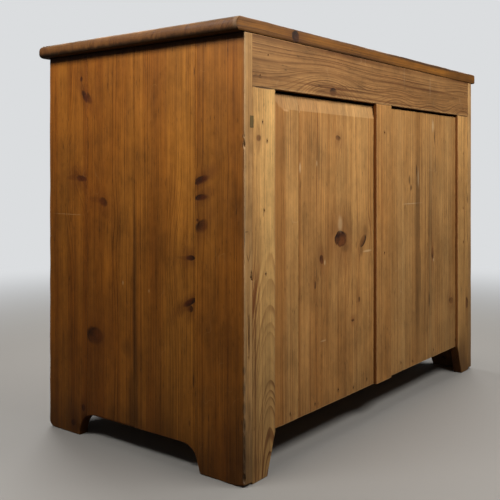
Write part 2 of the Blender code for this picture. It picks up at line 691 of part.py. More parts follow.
def make_fielded_panel(name, x0, x1, z0, z1, groove_front, wood):
    """Raise the middle of a panel by insets, with a sloping margin round it."""
    grow = DOOR_GROOVE - END_GAP
    front = groove_front + FIT
    back = front + TONGUE_T
    bm = bmesh.new()
    x0, x1, z0, z1 = x0 - grow, x1 + grow, z0 - grow, z1 + grow
    corners = [(x0, z0), (x1, z0), (x1, z1), (x0, z1)]
    face = bm.faces.new([bm.verts.new((x, back, z)) for x, z in corners])
    grown = bmesh.ops.extrude_face_region(bm, geom=[face])
    moved = [item for item in grown["geom"] if isinstance(item, bmesh.types.BMVert)]
    bmesh.ops.translate(bm, verts=moved, vec=(0, front - back, 0))
    bmesh.ops.recalc_face_normals(bm, faces=bm.faces)
    field = min(bm.faces, key=lambda item: item.calc_center_median().y)
    steps = ((grow, 0.0), (FIELD_BEVEL, FIELD_STEP - FIELD_RISE), (EDGE / 2, -FIELD_STEP))
    for inset, lift in steps:
        bmesh.ops.inset_region(bm, faces=[field], thickness=inset, use_even_offset=True)
        bmesh.ops.translate(bm, verts=field.verts, vec=(0, lift, 0))
    return add_object(name, mesh_from(name, bm), wood)


def make_leaf_mesh(name, hand, levels, iron):
    """Make one hinge leaf with its knuckles, in place round a pin that stands on the Z axis.

    hand is the side of the pin along X on which the leaf lies, and levels are
    the (low, high) heights of its knuckles.
    """
    near = hand * DOOR_GAP / 2
    far = hand * (DOOR_GAP / 2 + LEAF_T)
    face = KNUCKLE_RADIUS + FIT
    half = HINGE_LENGTH / 2
    leaf = block(name, (near, face, -half), (far, face + LEAF_WIDTH, half), iron)
    middle = (BORE_RADIUS + KNUCKLE_RADIUS) / 2
    for low, high in levels:
        arm = block("arm", (near, middle - FIT, low), (far, face + LEAF_T, high), iron)
        carve(arm, rod("knuckle", (0, 0, 0), (0, 0, 1), KNUCKLE_RADIUS, low, high, iron), 'UNION')
        carve(leaf, arm, 'UNION')
    carve(leaf, rod("bore", (0, 0, 0), (0, 0, 1), BORE_RADIUS, -half - OVERCUT, half + OVERCUT, iron))
    mesh = leaf.data
    mesh.shade_smooth()
    mesh.set_sharp_from_angle(angle=math.radians(40))
    bpy.data.objects.remove(leaf)
    return mesh


def make_hinges(pivots, iron):
    """Make four butt hinges. One set of meshes serves all: the right ones are turned upside down."""
    pitch = HINGE_LENGTH / KNUCKLES
    slots = []
    for index in range(KNUCKLES):
        low = -HINGE_LENGTH / 2 + index * pitch
        slots.append((low + KNUCKLE_GAP / 2, low + pitch - KNUCKLE_GAP / 2))
    frame_mesh = make_leaf_mesh("frame_leaf", -1, slots[0::2], iron)
    door_mesh = make_leaf_mesh("door_leaf", 1, slots[1::2], iron)
    half = HINGE_LENGTH / 2
    pin_profile = [(0, -half), (PIN_RADIUS, -half), (PIN_RADIUS, half + FIT), (PIN_HEAD, half + FIT),
                   (PIN_HEAD, half + PIN_HEAD_HEIGHT / 2), (PIN_RADIUS, half + PIN_HEAD_HEIGHT),
                   (0, half + PIN_HEAD_HEIGHT)]
    for word, hand in (("left", -1), ("right", 1)):
        flip = 0.0 if hand < 0 else math.pi
        for level, height in zip(("upper", "lower"), hinge_heights()):
            place = (hand * HINGE_AXIS_X, HINGE_AXIS_Y, height)
            name = f"{word}_{level}_hinge"
            frame_leaf = add_object(f"{name}_frame_leaf", frame_mesh, iron, place)
            frame_leaf.rotation_euler = (0, flip, 0)
            door_leaf = add_object(f"{name}_door_leaf", door_mesh, iron)
            door_leaf.rotation_euler = (0, flip, 0)
            door_leaf.parent = pivots[word]
            door_leaf.location = Vector(place) - Vector(pivots[word]["place"])
            turned(f"{name}_pin", pin_profile, place, (0, 0, 1), iron, ROUND_STEPS)


def knob_profile(shank):
    """Give a turned knob's half outline, from the inner end of its shank to its crown."""
    profile = [(0, -shank), (SPINDLE_RADIUS, -shank), (SPINDLE_RADIUS, FIT), (KNOB_BASE_RADIUS, FIT),
               (KNOB_BASE_RADIUS, 0.08 * KNOB_REACH), (KNOB_NECK_RADIUS, 0.2 * KNOB_REACH),
               (KNOB_NECK_RADIUS, 0.34 * KNOB_REACH)]
    swell = 0.66 * KNOB_REACH
    steps = 8
    start = math.asin(KNOB_NECK_RADIUS / KNOB_RADIUS)
    for index in range(1, steps):
        turn = start + (math.pi - start) * index / steps
        along = 0.34 * KNOB_REACH + swell * (math.cos(start) - math.cos(turn)) / (math.cos(start) + 1)
        profile.append((KNOB_RADIUS * math.sin(turn), along))
    profile.append((0, KNOB_REACH))
    return profile


def make_knobs(doors, pivots, wood):
    """Fix one knob in the left door, and run the other through the right door to its catch."""
    outward = (0, -1, 0)
    bore_gap = FIT + KNUCKLE_GAP
    left_at = (-KNOB_X, FRONT, KNOB_HEIGHT)
    right_at = (KNOB_X, FRONT, KNOB_HEIGHT)

    left = turned("left_door_knob", knob_profile(DOWEL_LENGTH), left_at, outward, wood, KNOB_STEPS)
    hole = rod("hole", left_at, outward, SPINDLE_RADIUS + FIT,
               -DOWEL_LENGTH - END_GAP, OVERCUT, wood, KNOB_STEPS)
    drill(doors["left"]["meeting_stile"], hole)
    hang(left, pivots["left"])

    shank = DOOR_T + CATCH_GAP + CATCH_T + OVERCUT
    right = turned("right_door_knob", knob_profile(shank), right_at, outward, wood, KNOB_STEPS)
    hole = rod("hole", right_at, outward, SPINDLE_RADIUS + bore_gap,
               -DOOR_T - OVERCUT, OVERCUT, wood, KNOB_STEPS)
    drill(doors["right"]["meeting_stile"], hole)
    hang(right, pivots["catch"])

    half = CATCH_WIDTH / 2
    outline = [(-half, CATCH_TAIL - half)]
    for step in range(1, ARC_STEPS):
        turn = math.pi * step / ARC_STEPS
        outline.append((-half * math.cos(turn), CATCH_TAIL - half + half * math.sin(turn)))
    outline += [(half, CATCH_TAIL - half), (0.7 * half, -CATCH_REACH), (-0.7 * half, -CATCH_REACH)]
    outline = [(KNOB_X + x, KNOB_HEIGHT + z) for x, z in outline]
    near = DOOR_BACK + CATCH_GAP
    tongue = prism("catch_tongue", outline, "Y", near, near + CATCH_T, wood, EDGE / 2)
    carve(tongue, rod("hole", right_at, outward, SPINDLE_RADIUS + FIT,
                      -DOOR_T - CATCH_GAP - CATCH_T - OVERCUT, OVERCUT, wood, KNOB_STEPS))
    hang(tongue, pivots["catch"])


def drill(piece, tool):
    """Bore a hole, given in world places, in a piece that already hangs on its pivot."""
    tool.data.transform(Matrix.Translation(-Vector(piece.parent["place"])))
    tool.parent = piece.parent
    carve(piece, tool)


def make_bolt(pivots, brass):
    """Make the bolt inside the left door, and its keep on the front top rail."""
    x = -KNOB_X
    half_width = BOLT_PLATE_WIDTH / 2
    guide_half = BOLT_BORE + GUIDE_WALL
    plate_back = BOLT_FRONT + BOLT_PLATE_T
    guide_back = BOLT_AXIS_Y + guide_half

    def guide_block(name, low, high):
        return block(name, (x - guide_half, BOLT_FRONT + BOLT_PLATE_T / 2, low),
                     (x + guide_half, guide_back, high), brass, EDGE / 2)

    plate = block("bolt_plate", (x - half_width, BOLT_FRONT, BOLT_PLATE_LOW),
                  (x + half_width, plate_back, BOLT_PLATE_HIGH), brass, EDGE / 4)
    margin = GUIDE_WALL
    lower_guide = (BOLT_PLATE_LOW + margin, BOLT_PLATE_LOW + margin + GUIDE_LENGTH)
    upper_guide = (BOLT_PLATE_HIGH - margin - GUIDE_LENGTH, BOLT_PLATE_HIGH - margin)
    for low, high in (lower_guide, upper_guide):
        carve(plate, guide_block("guide", low, high), 'UNION')
    carve(plate, rod("bore", (x, BOLT_AXIS_Y, 0), (0, 0, 1), BOLT_BORE,
                     BOLT_PLATE_LOW - OVERCUT, BOLT_PLATE_HIGH + OVERCUT, brass))
    hang(plate, pivots["left"])

    tip = DOOR_HIGH - BOLT_TIP_BELOW_TOP
    grip_z = lower_guide[1] + FIT + BOLT_GRIP_RADIUS
    foot = BOLT_PLATE_LOW + margin / 2
    bar = rod("bolt_rod", (x, BOLT_AXIS_Y, 0), (0, 0, 1), BOLT_RADIUS, foot, tip, brass)
    grip_profile = [(0, 0), (BOLT_GRIP_RADIUS / 2, 0), (BOLT_GRIP_RADIUS / 2, 0.5 * BOLT_GRIP_REACH),
                    (BOLT_GRIP_RADIUS, 0.7 * BOLT_GRIP_REACH), (BOLT_GRIP_RADIUS, 0.9 * BOLT_GRIP_REACH),
                    (0, BOLT_GRIP_REACH)]
    grip = turned("grip", grip_profile, (x, BOLT_AXIS_Y, grip_z), (0, 1, 0), brass, ROUND_STEPS)
    carve(bar, grip, 'UNION')
    hang(bar, pivots["bolt"])

    keep_low = FRONT_RAIL_LOW + KEEP_LIFT
    keep_high = keep_low + KEEP_LENGTH
    keep = block("bolt_keep", (x - half_width, BOLT_FRONT, keep_low),
                 (x + half_width, plate_back, keep_high), brass, EDGE / 4)
    carve(keep, guide_block("guide", keep_low + margin, keep_high - margin), 'UNION')
    carve(keep, rod("bore", (x, BOLT_AXIS_Y, 0), (0, 0, 1), BOLT_BORE,
                    keep_low - OVERCUT, keep_high + OVERCUT, brass))


def main():
    for thing in list(bpy.data.objects):
        bpy.data.objects.remove(thing)

    side_pine = make_material("side_pine", linear(146, 88, 38), 0.5)
    back_pine = make_material("back_pine", linear(178, 132, 82), 0.55)
    top_pine = make_material("top_pine", linear(128, 88, 50), 0.45)
    front_pine = make_material("front_pine", linear(166, 112, 58), 0.5)
    inside_pine = make_material("inside_pine", linear(172, 138, 96), 0.7)
    knob_wood = make_material("knob_wood", linear(120, 72, 34), 0.4)
    iron = make_material("iron", linear(96, 92, 88), 0.5, 1.0)
    brass = make_material("brass", linear(168, 138, 78), 0.35, 1.0)

    make_top(top_pine)
    make_side(1, "right", side_pine)
    make_side(-1, "left", side_pine)
    make_floor(inside_pine)
    make_back_frame(back_pine)
    make_back_panels(back_pine)
    make_shelf(inside_pine)
    make_front_frame(front_pine, inside_pine)

    left_at = (-HINGE_AXIS_X, HINGE_AXIS_Y, DOOR_LOW)
    right_at = (HINGE_AXIS_X, HINGE_AXIS_Y, DOOR_LOW)
    pivots = {"left": add_pivot("left_door_axis", left_at), "right": add_pivot("right_door_axis", right_at)}
    pivots["catch"] = add_pivot("catch_axis", (KNOB_X, FRONT, KNOB_HEIGHT), pivots["right"])
    pivots["bolt"] = add_pivot("bolt_axis", (-KNOB_X, BOLT_AXIS_Y, BOLT_PLATE_LOW), pivots["left"])
    doors = {
        "left": make_door(-1, "left", front_pine, pivots["left"]),
        "right": make_door(1, "right", front_pine, pivots["right"]),
    }
    make_hinges(pivots, iron)
    make_knobs(doors, pivots, knob_wood)
    make_bolt(pivots, brass)

    print("hinge axis", HINGE_AXIS_X, HINGE_AXIS_Y)
    print("catch axis", KNOB_X, FRONT, KNOB_HEIGHT)
    print("front", FRONT, "back", BACK)


main()
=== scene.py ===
# %% [markdown]
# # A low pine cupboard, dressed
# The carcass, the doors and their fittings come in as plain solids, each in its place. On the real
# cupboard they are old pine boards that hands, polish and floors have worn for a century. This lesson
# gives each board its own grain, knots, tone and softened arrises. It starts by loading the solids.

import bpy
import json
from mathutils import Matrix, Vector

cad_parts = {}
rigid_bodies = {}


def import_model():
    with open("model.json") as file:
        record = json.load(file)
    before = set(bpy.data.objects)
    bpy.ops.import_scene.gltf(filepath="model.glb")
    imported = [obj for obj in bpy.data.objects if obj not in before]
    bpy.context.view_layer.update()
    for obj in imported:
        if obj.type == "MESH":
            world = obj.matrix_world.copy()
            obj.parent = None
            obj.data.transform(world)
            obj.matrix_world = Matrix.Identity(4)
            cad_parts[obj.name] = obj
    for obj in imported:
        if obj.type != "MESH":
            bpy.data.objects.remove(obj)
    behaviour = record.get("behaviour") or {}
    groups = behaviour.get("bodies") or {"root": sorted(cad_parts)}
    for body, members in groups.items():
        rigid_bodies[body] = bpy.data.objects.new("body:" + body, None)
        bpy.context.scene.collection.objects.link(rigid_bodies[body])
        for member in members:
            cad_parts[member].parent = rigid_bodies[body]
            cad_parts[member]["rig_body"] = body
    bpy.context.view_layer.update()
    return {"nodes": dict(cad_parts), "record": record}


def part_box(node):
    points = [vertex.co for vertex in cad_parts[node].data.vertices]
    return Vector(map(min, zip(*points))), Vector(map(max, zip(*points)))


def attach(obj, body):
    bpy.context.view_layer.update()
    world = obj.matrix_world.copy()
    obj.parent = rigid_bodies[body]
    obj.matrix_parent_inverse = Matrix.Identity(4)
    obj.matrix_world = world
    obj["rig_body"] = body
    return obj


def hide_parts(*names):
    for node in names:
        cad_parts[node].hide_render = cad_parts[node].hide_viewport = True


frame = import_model()
print("solids:", len(frame["nodes"]))

# %% Tools of the lesson
import json
import math
import random

import bmesh
import bpy
from mathutils import Matrix, Vector, noise

scene = bpy.context.scene


def rounded(values, digits=4):
    return [round(value, digits) for value in values]


# %% [markdown]
# ## The view
# A camera that stands level keeps upright edges upright. The cupboard is seen from behind its right
# corner, a little below the level of the top. Tilting the camera would make the sides lean, so the
# lens is shifted down instead: that is how a product photographer keeps a cupboard's sides parallel.

# %% Camera
CAMERA_PLACE = (1.7033, 1.2110, 0.6081)
CAMERA_TURN = 127.83      # degrees from +Y towards -X
CAMERA_LENS = 54.93
CAMERA_SHIFT = -0.1606
SENSOR_WIDTH = 36

camera = bpy.data.objects.new("camera", bpy.data.cameras.new("camera"))
camera.data.lens = CAMERA_LENS
camera.data.sensor_width = SENSOR_WIDTH
camera.data.shift_y = CAMERA_SHIFT
camera.location = CAMERA_PLACE
camera.rotation_euler = (math.radians(90), 0, math.radians(CAMERA_TURN))
scene.collection.objects.link(camera)
scene.camera = camera
print("camera:", CAMERA_PLACE, "with a lens of", CAMERA_LENS, "mm")

# %% [markdown]
# ## Colours
# A shader works with linear light, and a colour read from a swatch is an 8-bit screen value. Each
# colour could be turned by hand, but one small function does it, so every colour below is written as
# on a swatch.

# %% Screen colours to linear
def linear(red, green, blue):
    def channel(value):
        value = value / 255
        return value / 12.92 if value <= 0.04045 else ((value + 0.055) / 1.055) ** 2.4
    return (channel(red), channel(green), channel(blue), 1.0)


print("a middle grey swatch in linear light:", rounded(linear(128, 128, 128)))

# %% [markdown]
# ## Nodes that read like sums
# Nodes colour both the room and the wood, and a wood shader is long arithmetic on the place of a
# point in its board. Nodes can be added and linked one at a time, but then the formula is lost among
# the links. So a small class stands for what a node works out. It is added, multiplied and divided
# like a number, and each such sum adds one node.

# %% Values
class Value:
    """What a node works out: a number, a colour, a place or a shader."""

    def __init__(self, socket):
        self.socket = socket
        self.tree = socket.id_data

    def __add__(self, other):
        return calc('ADD', self, other)

    def __sub__(self, other):
        return calc('SUBTRACT', self, other)

    def __rsub__(self, other):
        return calc('SUBTRACT', other, self)

    def __mul__(self, other):
        return calc('MULTIPLY', self, other)

    def __truediv__(self, other):
        return calc('DIVIDE', self, other)


def fill(node, inputs):
    """Set a node's inputs to plain numbers and colours, or link values to them."""
    for key, value in inputs.items():
        if isinstance(value, Value):
            value.tree.links.new(value.socket, node.inputs[key])
        else:
            node.inputs[key].default_value = value


def add_node(tree, kind, inputs, output=0, **settings):
    """Add a node and return one of its outputs as a value."""
    node = tree.nodes.new("ShaderNode" + kind)
    for name, setting in settings.items():
        setattr(node, name, setting)
    fill(node, inputs)
    return Value(node.outputs[output])


def tree_of(values):
    return next(value.tree for value in values if isinstance(value, Value))


def calc(operation, *values):
    return add_node(tree_of(values), "Math", dict(enumerate(values)), operation=operation)


# %% [markdown]
# ## Helpers for shaders
# A few sums come back all the time: a soft step, a noise, a mix of two colours, and taking a place
# apart and putting it together. Each could be spelled out where it is needed. A helper with a short
# name keeps the formulas short, and a node group lets one long formula serve many boards.

# %% Soft step, noise and mix
def fade(value, start, end):
    """0 before start and 1 past end, with a soft step between."""
    return add_node(value.tree, "MapRange", {"Value": value, "From Min": start, "From Max": end}, "Result",
                    interpolation_type='SMOOTHSTEP')


def pack(x, y, z):
    return add_node(tree_of((x, y, z)), "CombineXYZ", {0: x, 1: y, 2: z})


def unpack(value):
    """The three parts of a place or a colour."""
    split = value.tree.nodes.new("ShaderNodeSeparateXYZ")
    fill(split, {0: value})
    return [Value(socket) for socket in split.outputs]


def grainy(place, scale=1.0, detail=2.0, roughness=0.5, output="Fac"):
    return add_node(place.tree, "TexNoise", {"Vector": place, "Scale": scale, "Detail": detail,
                                             "Roughness": roughness}, output)


def tint(amount, first, second, mode='MIX'):
    return add_node(tree_of((amount, first, second)), "Mix", {0: amount, 6: first, 7: second}, 2,
                    data_type='RGBA', blend_type=mode, clamp_factor=True)


# %% Groups and materials
def new_group(name, inputs, outputs):
    group = bpy.data.node_groups.new(name, 'ShaderNodeTree')
    for in_out, labels in (('INPUT', inputs), ('OUTPUT', outputs)):
        for label in labels:
            group.interface.new_socket(label, in_out=in_out, socket_type='NodeSocketFloat')
    sockets = group.nodes.new("NodeGroupInput").outputs
    given = {label: Value(sockets[label]) for label in inputs}
    return group, given, group.nodes.new("NodeGroupOutput")


def use_group(group, inputs):
    node = tree_of(inputs.values()).nodes.new("ShaderNodeGroup")
    node.node_tree = group
    fill(node, inputs)
    return {socket.name: Value(socket) for socket in node.outputs}


def new_material(name):
    material = bpy.data.materials.new(name)
    material.use_nodes = True
    return material, material.node_tree, material.node_tree.nodes["Principled BSDF"]


# %% [markdown]
# ## The room
# The cupboard stands on a plain pale floor. A wall could close the picture, but it would throw its
# own light on the wood. So the floor fades into pale surroundings a few metres away, and no horizon
# cuts the picture. Only rays that come straight from the camera see the fade: for all others the
# floor is an ordinary matt surface that catches the shadow.

# %% Surroundings
ROOM = linear(219, 221, 223)
AMBIENT = 0.07
MIRRORED = 0.10           # how much of the pale room polished metal and wax reflect

world = bpy.data.worlds.new("room")
scene.world = world
world.use_nodes = True
tree = world.node_tree
tree.nodes.clear()
shiny = add_node(tree, "LightPath", {}, "Is Glossy Ray")
direct = add_node(tree, "LightPath", {}, "Is Camera Ray")
lit = add_node(tree, "Background", {"Color": ROOM, "Strength": AMBIENT})
seen = add_node(tree, "Background", {"Color": ROOM})
surroundings = add_node(tree, "MixShader", {0: shiny * MIRRORED + direct, 1: lit, 2: seen})
fill(tree.nodes.new("ShaderNodeOutputWorld"), {"Surface": surroundings})
print("room:", len(tree.nodes), "nodes")

# %% Floor
FLOOR_SIZE = 14.0
FADE_START, FADE_END = 0.9, 3.0
FLOOR_COLOUR = linear(147, 143, 137)
FLOOR_BOUNCE = linear(82, 73, 60)      # the light that the floor gives back is warm and weak

bpy.ops.mesh.primitive_grid_add(x_subdivisions=8, y_subdivisions=8, size=FLOOR_SIZE)
floor = bpy.context.object
floor.name = "floor"
matt, tree, shader = new_material("floor")
direct = add_node(tree, "LightPath", {}, "Is Camera Ray")
fill(shader, {"Roughness": 0.7, "Base Color": tint(direct, FLOOR_BOUNCE, FLOOR_COLOUR)})
away = add_node(tree, "VectorMath", {0: add_node(tree, "TexCoord", {}, "Object")}, "Value", operation='LENGTH')
glow = add_node(tree, "Emission", {"Color": ROOM})
faded = add_node(tree, "MixShader", {0: fade(away, FADE_START, FADE_END) * direct, 1: Value(shader.outputs[0]),
                                     2: glow})
fill(tree.nodes["Material Output"], {"Surface": faded})
floor.data.materials.append(matt)
print("floor:", FLOOR_SIZE, "m wide, fades from", FADE_START, "to", FADE_END, "m")

# %% [markdown]
# ## Light
# Large soft lamps hang close above the cupboard, as softboxes do. A sun or a bright sky would light
# top and foot alike. Lamps that hang near light the upper boards much more than the feet, and they
# throw a dark band under the overhang of the top.

# %% Lamps
def softbox(name, place, target, width, height, power):
    lamp = bpy.data.lights.new(name, 'AREA')
    lamp.shape = 'RECTANGLE'
    lamp.size = width
    lamp.size_y = height
    lamp.energy = power
    piece = bpy.data.objects.new(name, lamp)
    piece.location = place
    piece.rotation_euler = (Vector(target) - Vector(place)).to_track_quat('-Z', 'Y').to_euler()
    scene.collection.objects.link(piece)
    print("lamp", name, "of", power, "watts at", place)


softbox("overhead", (0.1, 0.0, 2.4), (0, 0, 0.5), 1.6, 1.4, 9)
softbox("behind", (0.05, 1.45, 1.75), (0.15, 0.25, 0.7), 1.2, 0.6, 30)
softbox("right", (1.40, -0.05, 1.55), (0.5, 0, 0.7), 0.8, 0.4, 16)
softbox("front", (-0.5, -1.6, 1.8), (-0.1, -0.2, 0.55), 1.2, 0.9, 32)
softbox("left", (-1.6, 0.0, 1.8), (-0.5, 0, 0.5), 0.9, 0.8, 20)

# %% [markdown]
# ## Growth rings
# A tree is a stack of cones round its pith, and a board is a slice through them. A stretched noise
# looks like wood on one face, but its lines don't meet round an arris. So the figure is worked out
# from the distance between each point and the pith: rings far from the pith give the straight lines
# of a quarter-sawn board, and a pith that leans behind the face gives the arches of a plain-sawn
# one. The pale early wood darkens slowly through each ring and ends in a sharp dark line of late
# wood.

# %% Ring figure
FIGURE_INPUTS = ("Along", "Across", "Depth", "Shift", "Lift", "Pith Across", "Pith Depth", "Ring", "Wander",
                 "Even", "Seed")
FIGURE_OUTPUTS = ("Late", "Tone", "Line", "Fibre", "Streak", "Cloud", "Patina", "Fleck", "Blotch", "Scuff")


def make_figure_group():
    group, given, made = new_group("growth_rings", FIGURE_INPUTS, FIGURE_OUTPUTS)
    along, across, depth, shift, lift, pith_across, pith_depth, ring, wander, even, seed = given.values()

    def stretched(fine, long, number, detail=2.0, roughness=0.5, output="Fac"):
        """A noise that is fine across the grain and long along it. Each number gives another noise."""
        place = pack(across * fine + (seed * 3.7 + number), depth * fine, along * long)
        return grainy(place, 1.0, detail, roughness, output)

    drift = unpack(stretched(5.0, 1.8, 0.0, output="Color"))
    u = across + shift - pith_across + (drift[0] - 0.5) * wander
    w = depth - pith_depth + (drift[1] - 0.5) * wander
    ripple = stretched(55.0, 9.0, 5.0) - 0.5
    count = (calc('SQRT', u * u + w * w) + lift + ripple * 0.0016) / ring

    def ring_noise(scale, number):
        """A noise from ring to ring: good and bad years come in runs."""
        return add_node(group, "TexNoise", {"W": count * scale + (seed + number), "Scale": 1.0}, "Fac",
                        noise_dimensions='1D') - 0.5

    narrow, zone = ring_noise(0.45, 0.0), ring_noise(0.16, 20.0)
    count = count + narrow * 3.2
    part = calc('FRACT', count)
    late = calc('POWER', fade(part, 0.15, 0.95), 1.7) * fade(part, 1.0, 0.93)
    chance = add_node(group, "TexWhiteNoise", {"W": calc('FLOOR', count) + seed}, "Value",
                      noise_dimensions='1D')
    strength = (calc('POWER', chance, 1.6) * 1.05 + 0.15) * (zone * 2.4 + 1.0)
    strength = strength + (0.55 - strength) * even
    waning = fade(stretched(26.0, 2.6, 8.0, 3.0), 0.30, 0.66)
    crowd = fade(stretched(17.0, 0.8, 10.0, 3.0), 0.44, 0.60)
    hair = calc('ABSOLUTE', stretched(19.0, 13.0, 12.0, 1.0) - 0.5)
    fill(made, {
        "Late": late * strength * (waning * 0.85 + 0.35),
        "Tone": chance,
        "Line": fade(stretched(300.0, 1.5, 11.0), 0.50, 0.68) * (crowd * 0.8 + 0.2),
        "Fibre": stretched(430.0, 7.0, 1.0),
        "Streak": stretched(60.0, 0.9, 2.0, 5.0, 0.68),
        "Cloud": stretched(14.0, 3.0, 3.0),
        "Patina": stretched(95.0, 48.0, 4.0, 4.0, 0.6),
        "Fleck": fade(stretched(300.0, 46.0, 6.0), 0.62, 0.76),
        "Blotch": stretched(11.0, 8.0, 9.0, 5.0, 0.62),
        "Scuff": fade(hair, 0.007, 0.0) * fade(stretched(13.0, 9.0, 13.0), 0.56, 0.66)})
    return group


figure_group = make_figure_group()
print("growth rings:", len(figure_group.nodes), "nodes")

# %% [markdown]
# ## Knots
# A knot is a branch that the trunk has grown round. Its own wood is dark, with small rings and often
# a black rim of bark, and the grain of the board parts to flow round it. A dark oval laid over
# straight lines looks like a sticker, so this group does both: it moves the place that the rings are
# read from, and it gives masks for the knot and for the resinous halo. Several are chained, each one
# adding to what came before.

# %% Knot
KNOT_RUNNING = ("Shift", "Lift", "Core", "Rim", "Halo", "Swirl")
KNOT_SIZES = ("Centre Across", "Centre Along", "Radius", "Stretch", "Lean", "Bark", "Depth of Colour", "Soft",
              "Dark Across", "Dark Along", "Bend")
FAR = 9.0                 # more radii away than any knot reaches
NO_KNOT = dict.fromkeys(KNOT_RUNNING, 0.0) | {"Swirl": FAR}


def make_knot_group():
    group, given, made = new_group("knot", ("Across", "Along", "Wobble") + KNOT_RUNNING + KNOT_SIZES,
                                   KNOT_RUNNING)
    radius, dark, soft = given["Radius"], given["Depth of Colour"], given["Soft"]
    along = given["Along"] - given["Centre Along"]
    across = given["Across"] - given["Centre Across"] - given["Lean"] * along
    length = radius * given["Stretch"]

    def oval(half_width, half_length):
        """The squared distance from the middle of the knot, 1 on an oval of this size."""
        a, b = across / half_width, along / half_length
        return a * a + b * b

    reach = calc('SQRT', oval(radius, length)) + given["Wobble"]
    filled = fade(reach, soft + 1.0, 1.0 - soft)
    tilted = across / radius * given["Dark Across"] + along / length * given["Dark Along"]
    rim = fade(reach, soft + 1.0, 0.98) * fade(reach, 0.50, 0.95) * (fade(tilted, -0.5, 0.8) * 0.9 + 0.1)
    rim = calc('MAXIMUM', rim, filled * fade(tilted, -0.7, 1.1) * 0.9) * given["Bark"]
    halo = fade(calc('SQRT', oval(radius, length * 2.2)), 3.0, 0.6) * dark
    flow = calc('EXPONENT', 0.0 - oval(radius * 2.3, radius * 5.0)) * given["Bend"]
    fill(made, {
        "Shift": given["Shift"] - across * flow * 0.7,
        "Lift": given["Lift"] + radius * flow * 0.6,
        "Core": calc('MAXIMUM', given["Core"], filled * dark),
        "Rim": calc('MAXIMUM', given["Rim"], rim),
        "Halo": calc('MAXIMUM', given["Halo"], halo),
        "Swirl": calc('MINIMUM', given["Swirl"], reach)})
    return group


knot_group = make_knot_group()
print("knot:", len(knot_group.nodes), "nodes")


def run_knots(knots, across, along, wobble, state):
    """Chain the knots of a face. What is running through them starts as state."""
    for sizes in knots:
        made = use_group(knot_group, {"Across": across, "Along": along, "Wobble": wobble, **state, **sizes})
        state = {label: made[label] for label in KNOT_RUNNING}
    return state


def knot(across, along, radius, stretch=1.3, lean=0.0, bark=0.6, dark=0.8, soft=0.3, turn=None, bend=1.0):
    """The sizes of one knot: its place on the board, its half width, its length against its width, how
    soft its outline is, on which side (in degrees) it is darkest and how much it bends the grain."""
    angle = across * 911 + along * 577 if turn is None else math.radians(turn)
    return dict(zip(KNOT_SIZES, (across, along, radius, stretch, lean, bark, dark, soft,
                                 math.cos(angle), math.sin(angle), bend)))


# %% [markdown]
# ## Scuffs and stains
# A scrape leaves a pale mark and a spill a dark one. They could be painted in a picture, but a
# picture has to be made and stored, and it blurs up close. Both are soft ovals, broken up by the
# grain, so one small group serves for all of them.

# %% Mark
MARK_SIZES = ("Centre Across", "Centre Along", "Half Width", "Half Length", "Lean", "Strength")


def make_mark_group():
    group, given, made = new_group("mark", ("Across", "Along", "Broken", "Marks") + MARK_SIZES, ("Marks",))
    along = given["Along"] - given["Centre Along"]
    across = given["Across"] - given["Centre Across"] - given["Lean"] * along
    a, b = across / given["Half Width"], along / given["Half Length"]
    reach = calc('SQRT', a * a + b * b) + (given["Broken"] - 0.5) * 1.1
    fill(made, {"Marks": calc('MAXIMUM', given["Marks"], fade(reach, 1.15, 0.35) * given["Strength"])})
    return group


mark_group = make_mark_group()
print("mark:", len(mark_group.nodes), "nodes")


def run_marks(marks, across, along, broken):
    """Chain the marks of a face, so that the strongest shows where they overlap."""
    total = 0.0
    for sizes in marks:
        total = use_group(mark_group, {"Across": across, "Along": along, "Broken": broken, "Marks": total,
                                       **sizes})["Marks"]
    return total


def mark(across, along, half_width, half_length, lean=0.0, strength=0.6):
    return dict(zip(MARK_SIZES, (across, along, half_width, half_length, lean, strength)))


# %% [markdown]
# ## Finishes
# The same wood was finished in several ways. The sides, doors and top were stained and waxed until
# they turned a warm brown. The back stayed nearly raw and has aged to honey, and the inside is pale
# and dry. One colour turned lighter and darker would miss how raw wood greys and wax reddens, so a
# finish names its own colours and how dull its surface is.

# %% Finish colours
PAINTS = ("early", "late", "warm", "knot", "rim", "bare", "scrape")
FINISHES = {}


def add_finish(name, roughness, *swatches):
    FINISHES[name] = dict(zip(PAINTS, (linear(*swatch) for swatch in swatches)), roughness=roughness)


add_finish("side_pine", 0.52, (171, 108, 36), (98, 52, 10), (136, 76, 16), (86, 36, 8), (32, 12, 2),
           (184, 130, 70), (200, 152, 98))
add_finish("back_pine", 0.60, (204, 155, 92), (138, 86, 40), (178, 122, 62), (122, 68, 30), (44, 20, 6),
           (214, 172, 118), (236, 200, 150))
add_finish("stile_pine", 0.60, (232, 180, 108), (138, 82, 38), (202, 144, 80), (130, 76, 36), (56, 28, 8),
           (224, 182, 124), (236, 216, 180))
add_finish("dry_pine", 0.62, (201, 156, 96), (132, 84, 41), (175, 123, 65), (122, 70, 34), (44, 22, 8),
           (210, 174, 124), (232, 206, 162))
add_finish("rail_pine", 0.60, (180, 132, 78), (100, 58, 24), (150, 103, 55), (110, 64, 28), (42, 22, 9),
           (200, 158, 106), (220, 192, 150))
add_finish("strip_pine", 0.62, (208, 164, 106), (152, 104, 58), (186, 138, 82), (120, 80, 42), (72, 44, 20),
           (224, 192, 150), (232, 212, 178))
# the next finish is painted shade, for the sideways faces beside the sunk panels
add_finish("shaded_side_pine", 0.64, (172, 114, 56), (118, 70, 30), (146, 90, 42), (80, 46, 20), (36, 20, 10),
           (180, 130, 76), (190, 150, 100))
add_finish("top_edge_pine", 0.59, (156, 101, 34), (78, 45, 10), (122, 74, 20), (60, 28, 8), (22, 10, 3),
           (80, 54, 30), (180, 146, 104))
